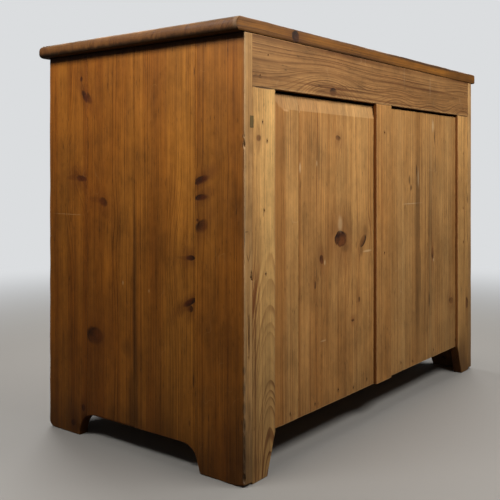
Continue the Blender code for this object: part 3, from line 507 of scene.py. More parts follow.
add_finish("top_pine", 0.56, (172, 120, 60), (94, 58, 24), (134, 88, 40), (78, 40, 14), (28, 14, 5),
           (184, 146, 100), (200, 168, 126))
add_finish("front_pine", 0.54, (180, 120, 54), (112, 64, 20), (150, 90, 34), (98, 46, 12), (34, 14, 3),
           (190, 142, 84), (206, 164, 114))
add_finish("inside_pine", 0.72, (208, 166, 110), (162, 114, 64), (190, 142, 88), (116, 76, 42), (56, 36, 20),
           (210, 178, 132), (222, 202, 170))
add_finish("patch_wood", 0.64, (134, 108, 60), (82, 64, 32), (110, 86, 44), (70, 58, 34), (40, 34, 22),
           (140, 116, 72), (170, 160, 130))
add_finish("knob_wood", 0.30, (128, 76, 38), (72, 38, 16), (100, 56, 26), (52, 26, 12), (26, 14, 8),
           (160, 110, 66), (170, 130, 90))
print("finishes:", ", ".join(FINISHES))

# %% [markdown]
# ## Pine
# This is the whole board. A box-mapped texture would repeat and would show seams, so the place of a
# point is sorted into along, across and through the grain instead, the knots bend it, the rings are
# read from it, and the finish colours the result. End grain drinks more stain, so it is darker. Worn
# arrises show bare wood, which the meshes mark with an attribute, and the boards grow darker towards
# the floor. Just under an overhang, painted shade darkens them where its shadow falls. The ridges of
# the late wood and the fibres also drive a fine bump.

# %% Tones over the width
def tone_across(across, tones):
    """Blend tones over the width of a board. They run from -1, golden, to 1, red-brown."""
    first, last = tones[0][0], tones[-1][0]
    ramp = across.tree.nodes.new("ShaderNodeValToRGB")
    fill(ramp, {"Fac": (across - first) / (last - first)})
    points = ramp.color_ramp.elements
    while len(points) < len(tones):
        points.new(0.5)
    for point, (at, tone) in zip(points, tones):
        point.position = (at - first) / (last - first)
        level = (tone + 1) / 2
        point.color = (level, level, level, 1)
    return unpack(Value(ramp.outputs["Color"]))[0] * 2.0 - 1.0


# %% Pine material
def pine(name, finish, grain, seed, pith=(0.0, -0.05), lean=(0.0, 0.0), start=0.0, stop=9.0, ring=0.005,
         wander=0.02, knots=(), swells=(), scrapes=(), stains_and_shade=(), contrast=1.0, redden=0.5, tones=(), low_darkening=0.0,
         edge=None, edge_knots=(), edge_stains=(), inner=None, wear=0.5, blotch=1.0, even=0.0, foot=0.5,
         calm=None, overhang_shade=(), slopes=()):
    """Make the material of one board.

    grain names the axes along, across and through the board, such as "ZYX". pith and lean are pairs,
    across and through, start is where along the board pith is, and past stop the lean ends and the
    lines run straight. tones is a list of (place across, tone) that a ramp blends over the width.
    swells lift the rings as a hidden branch does, without a knot. even makes all rings alike, and calm
    is the length over which they grow faint. edge is a pair: an axis, and the finish of the faces that
    look along it. On those faces the edge knots and stains are placed by depth and along. inner is the
    axis and the sign of the way that the unfinished inside looks. foot is the share of the darkening
    towards the bottom that lies close to the floor. The painted shade under an overhang is a list of
    (axis, place where it starts, place where it is full, strength). slopes is a list of (axis, paint,
    strength): painted light and shade for the faces that tilt a little towards that axis, as a bevel
    does.
    """
    material, tree, shader = new_material(name)
    place = dict(zip("XYZ", unpack(add_node(tree, "TexCoord", {}, "Object"))))
    facing = dict(zip("XYZ", unpack(add_node(tree, "TexCoord", {}, "Normal"))))
    along, across, depth = (place[axis] for axis in grain)
    colours = dict(FINISHES[finish])
    on_edge = 0.0
    if inner:
        inside = fade(facing[inner[0]] * inner[1], 0.5, 0.8)
        for paint in ("early", "late", "warm", "bare", "knot", "rim"):
            colours[paint] = tint(inside, colours[paint], FINISHES["inside_pine"][paint])
    if edge:
        on_edge = fade(calc('ABSOLUTE', facing[edge[0]]), 0.45, 0.75)
        for paint in ("early", "late", "warm", "bare"):
            colours[paint] = tint(on_edge, colours[paint], FINISHES[edge[1]][paint])

    mottle = grainy(pack(across * 70.0, depth * 60.0, along * 55.0 + seed), detail=3.0, roughness=0.6) - 0.5
    state = run_knots(knots, across, along, mottle * 0.7, dict(NO_KNOT))
    for swell_across, swell_along, half_width, half_length, amount in swells:
        a, b = (across - swell_across) / half_width, (along - swell_along) / half_length
        state["Lift"] = calc('EXPONENT', 0.0 - (a * a + b * b)) * amount + state["Lift"]
    if edge_knots:
        shown = run_knots(edge_knots, depth, along, mottle * 0.7, NO_KNOT)
        for label in ("Core", "Rim", "Halo"):
            state[label] = calc('MAXIMUM', state[label], shown[label] * on_edge)
        state["Swirl"] = calc('MINIMUM', state["Swirl"], shown["Swirl"] + (1.0 - on_edge) * FAR)

    centre = pith
    if any(lean):
        leaning = calc('SMOOTH_MIN', along, stop, 0.12) - start
        centre = [leaning * slope + middle for middle, slope in zip(pith, lean)]
    wood = use_group(figure_group, dict(zip(FIGURE_INPUTS, (
        along, across, depth, state["Shift"], state["Lift"], *centre, ring, wander, even, seed))))

    tone = wood["Cloud"] * 1.1 + wood["Streak"] * 1.2 + wood["Tone"] * 0.12 + (redden - 1.10)
    if tones:
        tone = tone + tone_across(across, tones) * 0.55
    colour = tint(tone, colours["early"], colours["warm"])
    if calm:
        contrast = (1.0 - fade(along, *calm) * 0.7) * contrast
    colour = tint(wood["Late"] * contrast, colour, colours["late"])
    colour = tint(wood["Line"] * 0.72 * contrast, colour, colours["late"])
    shade = (wood["Patina"] - wood["Streak"]) * 0.5 + (wood["Blotch"] - 0.5) * blotch
    shade = shade - (wood["Fibre"] - 0.5) * 0.85 - wood["Fleck"] * 0.38 + 1.0
    colour = tint(1.0, colour, pack(shade, shade, shade), 'MULTIPLY')
    # painted light and shade: the slopes of a bevel are tinted for the way they face the light, since their own
    # shading is too faint
    for axis, paint, strength in slopes:
        colour = tint(fade(facing[axis], 0.03, 0.06) * strength, colour, colours[paint])

    if knots or edge_knots:
        turn = calc('FRACT', state["Swirl"] * 3.1 + mottle)
        ringed = tint(turn * 0.5 + mottle * 1.8 - 0.04, colours["knot"], colours["rim"])
        colour = tint(state["Halo"] * 0.45, colour, colours["knot"])
        colour = tint(state["Core"], colour, ringed)
        colour = tint(state["Rim"] * (mottle * 2.4 + 1.0), colour, colours["rim"])
    scraped = FINISHES[finish]["scrape"]
    edge_rim = FINISHES[edge[1]]["rim"] if edge else None
    for marks, side, paint in ((scrapes, across, scraped), (stains_and_shade, across, colours["rim"]),
                               (edge_stains, depth, edge_rim)):
        if marks:
            amount = run_marks(marks, side, along, wood["Fibre"])
            if edge:
                amount = amount * (on_edge if marks is edge_stains else 1.0 - on_edge)
            colour = tint(amount, colour, paint)
    colour = tint(wood["Scuff"] * 0.15, colour, scraped)

    rubbed = add_node(tree, "Attribute", {}, "Fac", attribute_name="rubbed")
    bare = rubbed * (wood["Cloud"] + wood["Patina"])
    colour = tint(bare * wear, colour, colours["bare"])
    end_grain = fade(calc('ABSOLUTE', facing[grain[0]]), 0.55, 0.95)
    colour = tint(end_grain * 0.6, colour, colours["knot"])
    # darker towards the bottom: a broad darkening from high up the board and a narrow one close to the floor,
    # foot being its share
    if low_darkening:
        high = (wood["Cloud"] - 0.5) * 0.25 + place["Z"]
        low = fade(high, 0.13, 0.0) * foot + fade(high, 0.75, 0.0) * 0.5
        colour = tint(low * low_darkening, colour, colours["rim"])
    # painted shade: a board darkens towards the underside of an overhang, where the shadow falls
    for axis, shade_start, shade_full, strength in overhang_shade:
        amount = fade((wood["Patina"] - 0.5) * 0.012 + place[axis], shade_start, shade_full) * strength
        if edge:
            amount = amount * (1.0 - on_edge * 0.85)
        colour = tint(amount, colour, colours["rim"])

    rough = bare * 0.15 - wood["Late"] * 0.08 + (wood["Patina"] - 0.5) * 0.3 + FINISHES[finish]["roughness"]
    height = wood["Fibre"] * 0.5 + wood["Late"] + wood["Patina"] * 0.6
    if knots or edge_knots:
        height = height - state["Rim"] * 1.5
    bump = add_node(tree, "Bump", {"Strength": 0.6, "Distance": 0.00025, "Height": height}, "Normal")
    fill(shader, {"Base Color": colour, "Roughness": rough, "Specular IOR Level": 0.3, "Normal": bump})
    return material


# %% [markdown]
# ## Boards to work on
# The imported solids have few, large faces, which is right for a drawing but not for old wood. A
# subdivision modifier would round every joint. So each board is copied, its facets are joined up,
# and then it is cut into a fine grid. The cuts lie close together next to the arrises, because that
# is where the shape will change.

# %% Copy and slice
FINE_CUTS = (0.0024, 0.0045, 0.0075, 0.012)
GRID = 0.018

BODY_OF = {name: solid["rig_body"] for name, solid in frame["nodes"].items()}
SLOT_OF = {part["node"]: part["material_slot"] for part in frame["record"]["subparts"]}
print("bodies:", ", ".join(sorted(set(BODY_OF.values()))))


def board_copy(node):
    shape = bmesh.new()
    shape.from_mesh(frame["nodes"][node].data)
    bmesh.ops.remove_doubles(shape, verts=shape.verts, dist=1e-5)
    bmesh.ops.dissolve_limit(shape, angle_limit=math.radians(0.5), verts=shape.verts, edges=shape.edges)
    return shape


def slice_board(shape, axis, places):
    normal = Vector((0, 0, 0))
    normal[axis] = 1
    for place in places:
        everything = shape.verts[:] + shape.edges[:] + shape.faces[:]
        bmesh.ops.bisect_plane(shape, geom=everything, dist=2e-5, plane_co=normal * place, plane_no=normal)


def cut_places(low, high, step):
    """Places of the cuts from low to high: a few close to each end and even ones between."""
    ends = [gap for gap in FINE_CUTS if gap < (high - low) / 2 - 0.001]
    count = max(1, round((high - low) / step))
    middle = [low + (high - low) * i / count for i in range(1, count)]
    middle = [place for place in middle if min(place - low, high - place) > FINE_CUTS[-1] + 0.003]
    return [low + gap for gap in ends] + middle + [high - gap for gap in ends]


print("cuts along a board of 0.2 m:", rounded(cut_places(0.0, 0.2, GRID)))

# %% [markdown]
# ## Flush joints and sanded fields
# Years of scrubbing have sanded the raised fields of the panels almost level with their bevels, and
# the back frame was planed flush after it was glued. Both could be modelled again, but only a few
# corners have to move, so two small functions look for them by their place and shift them.

# %% Sand and square up
FIELD_STEP = 0.0009
STEP_LEFT = 0.0002
EASED = 0.0016            # the eased arris of a solid lies within this of its corner


def sand_step(shape, face):
    """Sand the little step of a raised field away, so that its bevel starts almost level with it."""
    count = 0
    for vert in shape.verts:
        if abs(vert.co.y - (face - FIELD_STEP)) < 0.0001:
            vert.co.y = face - STEP_LEFT
            count += 1
    return count


def square_up(shape, low, high, sides):
    """Take the eased arris of the back face out along the sides where a joint has to close flush."""
    for side in sides.split():
        axis = "xyz".index(side[0])
        plane = low[axis] if side[1] == "-" else high[axis]
        for vert in shape.verts:
            if abs(vert.co[axis] - plane) < EASED and high.y - vert.co.y < EASED:
                vert.co.y = high.y


# %% [markdown]
# ## Nail holes, cracks and chips
# A hole that is only painted stays flat when the light moves, so these are real cuts. All the cutters
# of a board are gathered in one mesh, and one exact Boolean takes them away while the board is still
# coarse, which keeps it quick and clean.

# %% Cutters
def nail_hole(cutters, place, axis, radius=0.0017, depth=0.007):
    turn = Vector((0, 0, 1)).rotation_difference(Vector(axis)).to_matrix().to_4x4()
    bmesh.ops.create_cone(cutters, cap_ends=True, segments=10, radius1=radius * 0.7, radius2=radius * 1.1,
                          depth=depth * 2, matrix=Matrix.Translation(place) @ turn)


def gouge(cutters, place, size, turn=0.0, axis='X'):
    """An uneven lump to cut away: a chip where it straddles an arris, a crack where it is thin."""
    matrix = Matrix.Translation(place) @ Matrix.Rotation(turn, 4, axis) @ Matrix.Diagonal((*size, 1))
    made = bmesh.ops.create_icosphere(cutters, subdivisions=2, radius=1, matrix=matrix)
    for vert in made["verts"]:
        push = 0.25 * noise.noise(vert.co * 260)
        vert.co += (vert.co - Vector(place)) * push


def cut_away(shape, cutters):
    pieces = []
    for name, source in (("board", shape), ("cutters", cutters)):
        mesh = bpy.data.meshes.new(name)
        source.to_mesh(mesh)
        source.free()
        pieces.append(bpy.data.objects.new(name, mesh))
        scene.collection.objects.link(pieces[-1])
    modifier = pieces[0].modifiers.new("cut", 'BOOLEAN')
    modifier.operation = 'DIFFERENCE'
    modifier.solver = 'EXACT'
    modifier.use_self = True
    modifier.object = pieces[1]
    result = bmesh.new()
    result.from_object(pieces[0], bpy.context.evaluated_depsgraph_get())
    for piece in pieces:
        mesh = piece.data
        bpy.data.objects.remove(piece)
        bpy.data.meshes.remove(mesh)
    return result


# %% [markdown]
# ## Wear
# Rubbing rounds an arris unevenly, while a bevel modifier rounds all of it alike. So every point near
# an arris is moved onto a rounded box whose radius changes along the edge, and the distance to the
# arris is kept as an attribute, so that the material can show bare wood there. Edges that meet
# another board stay crisp. A last gentle warp moves both faces together, since an old board is never
# quite flat.

# %% Rub and warp
WARP = 0.0004


def rub(shape, low, high, radius, crisp, seed):
    low, high = Vector(low), Vector(high)
    for side in crisp.split():
        axis = "xyz".index(side[0])
        if side[1] == "-":
            low[axis] -= 0.1
        else:
            high[axis] += 0.1
    worn = shape.verts.layers.float.new("rubbed")
    for vert in shape.verts:
        place = vert.co.copy()
        rough = noise.noise(place * 16 + Vector((seed, 0, 0)))
        rough += 0.6 * noise.noise(place * 75 + Vector((0, seed, 0)))
        around = radius * max(0.4, 1 + 0.75 * rough)
        inner = Vector([min(max(place[i], low[i] + around), high[i] - around) for i in range(3)])
        away = place - inner
        if away.length > around:
            vert.co = inner + away * (around / away.length)
        gaps = sorted(min(place[i] - low[i], high[i] - place[i]) for i in range(3))
        vert[worn] = min(1.0, max(0.0, 1.25 - gaps[1] / (radius * 2.0)))


def warp(shape, grain, seed):
    along, across, depth = ("XYZ".index(axis) for axis in grain)
    for vert in shape.verts:
        spot = Vector((vert.co[along] * 3.5, vert.co[across] * 9, seed * 3.1))
        vert.co[depth] += WARP * noise.noise(spot)


# %% Pieces
def to_mesh(shape, name, sharp=None):
    """Turn a bmesh into a mesh, smooth but for edges sharper than this angle. None leaves it flat."""
    mesh = bpy.data.meshes.new(name)
    shape.to_mesh(mesh)
    shape.free()
    if sharp:
        mesh.shade_smooth()
        mesh.set_sharp_from_angle(angle=math.radians(sharp))
    return mesh


def new_piece(mesh, name, body, material):
    """Stand a mesh in the scene as a piece with its material, riding on a body."""
    mesh.materials.append(material)
    piece = bpy.data.objects.new(name, mesh)
    scene.collection.objects.link(piece)
    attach(piece, body)
    return piece


def stand_in(shape, name, node, material, sharp=32):
    """A new piece in the place of a solid."""
    piece = new_piece(to_mesh(shape, name, sharp), name, BODY_OF[node], material)
    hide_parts(node)
    return piece


# %% One board
SEED_START, SEED_STEP = 3.0, 7.31
WORN = []


def worn_board(node, grain, look, radius=0.002, crisp="", cutters=None, inner=None, grid=GRID, sand=False,
               flush=""):
    """Dress one board: cut it, slice it, rub it, warp it and give it its own pine."""
    low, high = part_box(node)
    seed = len(WORN) * SEED_STEP + SEED_START
    shape = board_copy(node)
    square_up(shape, low, high, flush)
    if sand:
        print(node, "corners sanded:", sand_step(shape, high.y))
    if cutters is not None:
        shape = cut_away(shape, cutters)
    along, across, depth = ("XYZ".index(axis) for axis in grain)
    slice_board(shape, along, cut_places(low[along], high[along], grid))
    slice_board(shape, across, cut_places(low[across], high[across], grid))
    slice_board(shape, depth, cut_places(low[depth], high[depth], 1.0))
    rub(shape, low, high, radius, crisp, seed)
    warp(shape, grain, seed)
    middle = (Vector(low) + Vector(high)) / 2
    look = dict(look)
    pith = look.pop("pith", (0.09, -0.04))
    finish = look.pop("finish", SLOT_OF[node])
    material = pine(node, finish, grain, seed, pith=(middle[across] + pith[0], middle[depth] + pith[1]),
                    start=middle[along], inner=inner, **look)
    WORN.append(stand_in(shape, "worn_" + node, node, material))
    print(WORN[-1].name, "has", len(WORN[-1].data.polygons), "faces")


def strewn_knots(node, grain, count, smallest, largest):
    """Strew knots over a board that no picture shows: no two have the same size, slant or colour."""
    low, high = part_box(node)
    chance = random.Random(node)
    along, across = ("XYZ".index(axis) for axis in grain[:2])
    return [knot(chance.uniform(low[across], high[across]), chance.uniform(low[along], high[along]),
                 chance.uniform(smallest, largest), chance.choice((0.6, 1.0, 1.7)), chance.uniform(-0.5, 0.5),
                 chance.uniform(0.4, 0.9), chance.uniform(0.5, 0.9), chance.uniform(0.2, 0.5), bend=0.5)
            for _ in range(count)]


# %% [markdown]
# ## Sides
# Each side is four boards glued edge to edge. One wide board would be quicker to dress, but then the
# seams would have to be painted. The boards were sawn away from the pith, so their lines run
# straight up, and the glued joints cut through a few knots. Here the knots sit where the seams cut
# them, and broad bands of gold and red-brown run beside each other.

# %% Right side
SIDE = "ZYX"
LOW_DARKENING = 0.70
OVERHANG_SHADE = [("Z", 0.853, 0.868, 0.8)]      # painted shade: darkens the boards just under the overhang of the top, where its shadow falls
SIDE_EDGE = ("Y", "strip_pine")
side_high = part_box("right_side_rear_board")[1]

# place along the corner, half length and depth of each chip, the deep ones first
CHIPS = ((0.018, 0.010, 0.0040), (0.040, 0.012, 0.0020), (0.062, 0.018, 0.0024), (0.090, 0.012, 0.0018),
         (0.118, 0.016, 0.0022), (0.152, 0.012, 0.0015), (0.190, 0.015, 0.0014), (0.225, 0.008, 0.0010),
         (0.655, 0.006, 0.0026), (0.672, 0.004, 0.0018),
         (0.305, 0.007, 0.0012), (0.352, 0.004, 0.0010), (0.430, 0.006, 0.0013), (0.556, 0.004, 0.0012),
         (0.610, 0.003, 0.0010), (0.760, 0.004, 0.0011), (0.815, 0.006, 0.0010))
chips = bmesh.new()
for height, length, deep in CHIPS:
    gouge(chips, (side_high.x, side_high.y, height), (deep * 1.1, deep, length))
gouge(chips, (0.5474, side_high.y, 0.291), (0.0011, 0.0040, 0.040))
for across, height in ((0.5400, 0.409), (0.5425, 0.401), (0.5385, 0.396)):
    gouge(chips, (across, side_high.y, height), (0.0012, 0.0015, 0.0030), 0.5, 'Y')

worn_board("right_side_rear_board", SIDE, dict(
    pith=(0.16, -0.05), ring=0.0038, wander=0.012, redden=0.40, contrast=0.55, low_darkening=LOW_DARKENING, edge=SIDE_EDGE,
    blotch=1.3, overhang_shade=OVERHANG_SHADE, wear=0.25,
    knots=[knot(0.203, 0.588, 0.013, 0.60, 1.2, 0.9, 0.9, 0.5, 200, 0.25),
           knot(0.203, 0.553, 0.014, 0.38, 0.8, 0.9, 0.9, 0.5, 180, 0.2),
           knot(0.203, 0.495, 0.013, 0.85, 0.4, 0.7, 0.7, 0.5, 150, 0.3), knot(0.192, 0.507, 0.003, 1.0)],
    stains_and_shade=[mark(0.311, height, 0.006, 1.4 * length, 0, 0.75) for height, length, deep in CHIPS[:10]],
    tones=[(0.185, -0.1), (0.225, -0.2), (0.245, 0.2), (0.311, 0.3)],
    edge_stains=[mark(0.5615, height, 0.005, 1.2 * length, 0, 0.7) for height, length, deep in CHIPS[:8]] + [
        mark(0.5474, 0.291, 0.0030, 0.046, 0, 0.75), mark(0.545, 0.135, 0.004, 0.040, 0, 0.4),
        mark(0.540, 0.403, 0.004, 0.010, 0, 0.6), mark(0.560, 0.060, 0.005, 0.075, 0, 0.6),
        mark(0.556, 0.250, 0.002, 0.080, 0, 0.5), mark(0.551, 0.180, 0.002, 0.060, 0, 0.4),
        mark(0.541, 0.080, 0.003, 0.050, 0, 0.4), mark(0.5612, 0.476, 0.0018, 0.022, 0, 0.9),
        mark(0.555, 0.489, 0.006, 0.0014, 0, 0.7), mark(0.552, 0.440, 0.0012, 0.012, 0.3, 0.8),
        mark(0.5465, 0.440, 0.0012, 0.012, -0.3, 0.8)]),
    radius=0.0022, crisp="x- y- z+", cutters=chips, inner=("X", -1), grid=0.012, flush="x-")
worn_board("right_side_rear_middle_board", SIDE, dict(
    pith=(-0.17, -0.06), ring=0.0048, wander=0.014, redden=0.45, contrast=0.55, low_darkening=LOW_DARKENING,
    blotch=1.3, overhang_shade=OVERHANG_SHADE,
    knots=[knot(0.160, 0.429, 0.022, 0.20, 0.0, 0.0, 0.3),
           knot(0.172, 0.430, 0.011, 0.45, 0.3, 0.9, 0.9, 0.4, 20, 0.3),
           knot(0.170, 0.340, 0.010, 0.90, 1.2, 0.9, 0.9, 0.4, 20, 0.3),
           knot(0.172, 0.328, 0.006, 1.0, 0, 0.8, 0.7, 0.6, 0, 0.0)],
    tones=[(0.011, -0.3), (0.045, -0.2), (0.060, 0.3), (0.095, 0.2), (0.110, -0.6), (0.150, -0.8),
           (0.185, -0.4)],
    scrapes=[mark(0.055, 0.352, 0.002, 0.004, 0, 0.5)],
    stains_and_shade=[mark(0.011, 0.30, 0.008, 0.32, 0, 0.6), mark(0.010, 0.10, 0.014, 0.07, 0, 0.45),
            mark(0.183, 0.805, 0.002, 0.012, 0, 0.6), mark(0.181, 0.185, 0.003, 0.018, 0, 0.6),
            mark(0.170, 0.096, 0.003, 0.008, 0, 0.5)]),
    radius=0.001, crisp="x- y- y+ z+", inner=("X", -1))
worn_board("right_side_front_middle_board", SIDE, dict(
    pith=(0.15, -0.07), ring=0.0050, wander=0.016, redden=0.5, contrast=0.55, low_darkening=LOW_DARKENING,
    blotch=1.3, overhang_shade=OVERHANG_SHADE,
    knots=[knot(-0.114, 0.235, 0.027, 0.65, 0.0, 0.7, 0.6, 0.35, 160, 0.5),
           knot(-0.110, 0.541, 0.026, 0.25, -0.8, 0.0, 0.3, 0.5, 0, 0.2),
           knot(-0.090, 0.537, 0.011, 0.80, -0.4, 0.6, 0.7, 0.4, 0, 0.4),
           knot(-0.141, 0.771, 0.010, 1.3, -0.6, 0.5, 0.7, 0.4, 90, 0.4)],
    tones=[(-0.144, 0.6), (-0.110, 0.7), (-0.077, 0.3), (-0.041, 0.0), (0.011, -0.4)],
    scrapes=[mark(-0.025, 0.362, 0.003, 0.006, 0, 0.6)],
    stains_and_shade=[mark(0.011, 0.30, 0.007, 0.32, 0, 0.6), mark(0.006, 0.11, 0.020, 0.08, 0, 0.5),
            mark(-0.010, 0.225, 0.025, 0.025, 0, 0.25)]),
    radius=0.001, crisp="x- y- y+ z+", inner=("X", -1))
worn_board("right_side_front_board", SIDE, dict(
    pith=(-0.15, -0.05), ring=0.0045, wander=0.014, redden=0.55, contrast=0.6, low_darkening=LOW_DARKENING,
    blotch=1.3, overhang_shade=OVERHANG_SHADE,
    knots=[knot(-0.164, 0.815, 0.004, 1.4), knot(-0.149, 0.773, 0.008, 1.7, -0.6),
           knot(-0.182, 0.590, 0.030, 0.22, 0.0, 0.0, 0.35), knot(-0.164, 0.588, 0.016, 0.42, -0.5, 0.3),
           knot(-0.155, 0.066, 0.006, 1.2), knot(-0.191, 0.026, 0.007, 1.0)],
    tones=[(-0.279, 0.5), (-0.255, 0.4), (-0.242, -0.1), (-0.215, -0.1), (-0.200, 0.5), (-0.165, 0.2),
           (-0.144, 0.4)],
    scrapes=[mark(-0.210, 0.505, 0.060, 0.0009, 0, 0.5)],
    stains_and_shade=[mark(-0.158, 0.797, 0.0012, 0.018, -0.5, 0.6), mark(-0.163, 0.170, 0.004, 0.012, 0, 0.3)]),
    radius=0.003, crisp="x- y+ z+", inner=("X", -1))

# %% Left side
for part in ("rear", "rear_middle", "front_middle", "front"):
    node = f"left_side_{part}_board"
    chance = random.Random(part)
    more = dict(edge=SIDE_EDGE) if part == "rear" else {}
    crisp = "x+ z+" + (" y-" if part != "front" else "") + (" y+" if part != "rear" else "")
    worn_board(node, SIDE, dict(pith=(chance.choice((-0.15, 0.15)), 0.06), ring=0.0046, wander=0.014,
                                redden=chance.uniform(0.4, 0.65), low_darkening=LOW_DARKENING, contrast=0.6,
                                knots=strewn_knots(node, SIDE, 3, 0.006, 0.018),
                                blotch=1.3, overhang_shade=OVERHANG_SHADE, **more), crisp=crisp, inner=("X", 1))

# %% [markdown]
# ## Back frame
# The back is a frame of rail, stiles and muntin round two sunk panels. Nobody was meant to see it,
# so the wood was left nearly raw and shows nail holes and old knocks. The rail was sawn near the
# heart of the tree. Its knot bends the rings into an eye, and the stile shows a row of tall arches.
# Drawn arches would look stiff, so the pith leans behind the stile and the arches come by themselves.

# %% Rail, stiles and muntin
BACK = "ZXY"
ACROSS_BACK = "XZY"
NAIL_RADIUS = 0.0021
back_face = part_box("back_top_rail")[1].y
rail_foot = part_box("back_top_rail")[0].z
OUT = (0, 1, 0)
SIDE_FACE_SHADE = ("X", "shaded_side_pine")    # painted shade: the sideways faces beside a sunk panel get a darker finish, as they lie in shade

NAILS = []


def nails(face, places, depth=0.007):
    """Cutters for a row of nail holes in a back board, and the rust stains round them."""
    holes = bmesh.new()
    for across, height in places:
        nail_hole(holes, (across, face, height), OUT, NAIL_RADIUS, depth)
        NAILS.append((across, face, height))
    return dict(cutters=holes), [mark(across, height, 0.0035, 0.006, 0, 0.55) for across, height in places]


holes, rust = nails(back_face, ((0.486, 0.836), (0.512, 0.793), (-0.512, 0.836), (-0.500, 0.790)))
worn_board("back_top_rail", ACROSS_BACK, dict(
    finish="rail_pine", pith=(-0.30, -0.018), ring=0.0120, wander=0.008, redden=0.45, contrast=1.4, even=0.85,
    knots=[knot(0.781, 0.240, 0.009, 1.4, 0, 0.8, 0.6, 0.3, 20, 0.3)],
    swells=[(0.778, 0.258, 0.045, 0.120, -0.085), (0.770, -0.070, 0.040, 0.090, -0.050),
            (0.766, -0.270, 0.040, 0.090, -0.045), (0.768, -0.500, 0.060, 0.110, -0.085)],
    scrapes=[mark(0.835, -0.267, 0.034, 0.006, 0, 0.12), mark(0.850, -0.110, 0.030, 0.004, 0, 0.08)],
    # the two wide soft marks after the rust are painted shade: they darken the middle and far end of the rail,
    # away from the light
    stains_and_shade=rust + [mark(0.820, -0.060, 0.100, 0.480, 0, 0.14), mark(0.820, -0.320, 0.110, 0.330, 0, 0.22)]),
    radius=0.0014, crisp="z+ x- x+ y-", inner=("Y", -1), flush="x- x+", **holes)

holes, rust = nails(back_face, ((0.504, 0.702), (0.489, 0.665), (0.499, 0.528), (0.493, 0.402)))
worn_board("back_right_stile", BACK, dict(
    finish="stile_pine", pith=(-0.0180, -0.070), lean=(0.0, -0.170), stop=0.42, ring=0.0062, wander=0.006,
    redden=0.15, contrast=1.5, even=0.6, calm=(0.34, 0.46), low_darkening=1.2, foot=0.0, edge=SIDE_FACE_SHADE,
    knots=[knot(0.517, 0.670, 0.007, 0.9, 0, 0.2, 0.7)],
    tones=[(0.460, -0.8), (0.495, -0.7), (0.512, 0.0), (0.537, 0.3)],
    stains_and_shade=rust + [mark(0.502, 0.520, 0.0012, 0.006, 0, 0.5), mark(0.527, 0.04, 0.006, 0.05, 0, 0.3),
                   mark(0.500, rail_foot - 0.0006, 0.050, 0.0020, 0, 0.9)]),
    radius=0.0014, crisp="z+ x+ y-", inner=("Y", -1), grid=0.012, flush="x+", **holes)

holes, rust = nails(back_face, ((-0.500, 0.657), (-0.500, 0.493), (-0.502, 0.391), (-0.524, 0.218)))
worn_board("back_left_stile", BACK, dict(
    finish="stile_pine", pith=(0.10, -0.03), ring=0.0048, wander=0.012, redden=0.40, contrast=1.0, low_darkening=0.8,
    edge=SIDE_FACE_SHADE, knots=[knot(-0.528, 0.205, 0.007, 2.2, 0, 0.9, 0.8, 0.3, 180)],
    stains_and_shade=rust + [mark(-0.536, 0.700, 0.004, 0.030, 0, 0.7), mark(-0.534, 0.518, 0.004, 0.015, 0, 0.7),
                   mark(-0.534, 0.405, 0.003, 0.022, 0, 0.6), mark(-0.506, 0.720, 0.004, 0.016, 0, 0.25),
                   mark(-0.535, 0.600, 0.0025, 0.050, 0, 0.4),
                   mark(-0.500, rail_foot - 0.0006, 0.050, 0.0020, 0, 0.8)]),
    radius=0.0014, crisp="z+ x- y-", inner=("Y", -1), flush="x-", **holes)

holes, rust = nails(back_face, ((-0.002, 0.701), (-0.002, 0.401)))
worn_board("back_muntin", BACK, dict(
    pith=(0.12, -0.04), ring=0.0052, wander=0.010, redden=0.55, contrast=0.7, low_darkening=0.35, edge=SIDE_FACE_SHADE,
    tones=[(-0.0388, 0.2), (0.020, 0.0), (0.0388, 0.3)], stains_and_shade=rust),
    radius=0.0014, crisp="z+ y-", inner=("Y", -1), **holes)

# %% [markdown]
# ## Back panels
# Four wide thin boards fill the back. The one at the right corner was a fielded panel before, and
# its old bevel still shows: the slopes catch the light too little to be seen, so light and shade are
# painted on them, a paler tint on the top slope and a warmer, darker one on the side slope.
# Dark-rimmed knots, a pale teardrop of resin and a few white scrapes are the marks that give this
# back its face.

# %% Panels
PANEL_NAILS = {"back_right_panel_outer_board": (0.397,),
               "back_right_panel_inner_board": (0.302, 0.205, 0.136, 0.073),
               "back_left_panel_inner_board": (-0.108, -0.176),
               "back_left_panel_outer_board": (-0.309, -0.460)}
NAIL_ROW, ROW_STRAY = 0.100, 0.006


def panel(node, stains_and_shade=(), **look):
    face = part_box(node)[1].y
    row = [(across, NAIL_ROW + ROW_STRAY * math.sin(across * 40)) for across in PANEL_NAILS[node]]
    holes, rust = nails(face, row, 0.005)
    look = dict(dict(ring=0.0050, wander=0.020, redden=0.45, contrast=0.85, low_darkening=0.4, blotch=1.3,
                     stains_and_shade=rust + list(stains_and_shade)), **look)
    worn_board(node, BACK, look, radius=0.0008, crisp="x- x+ z+ y-", inner=("Y", -1), sand=True, **holes)


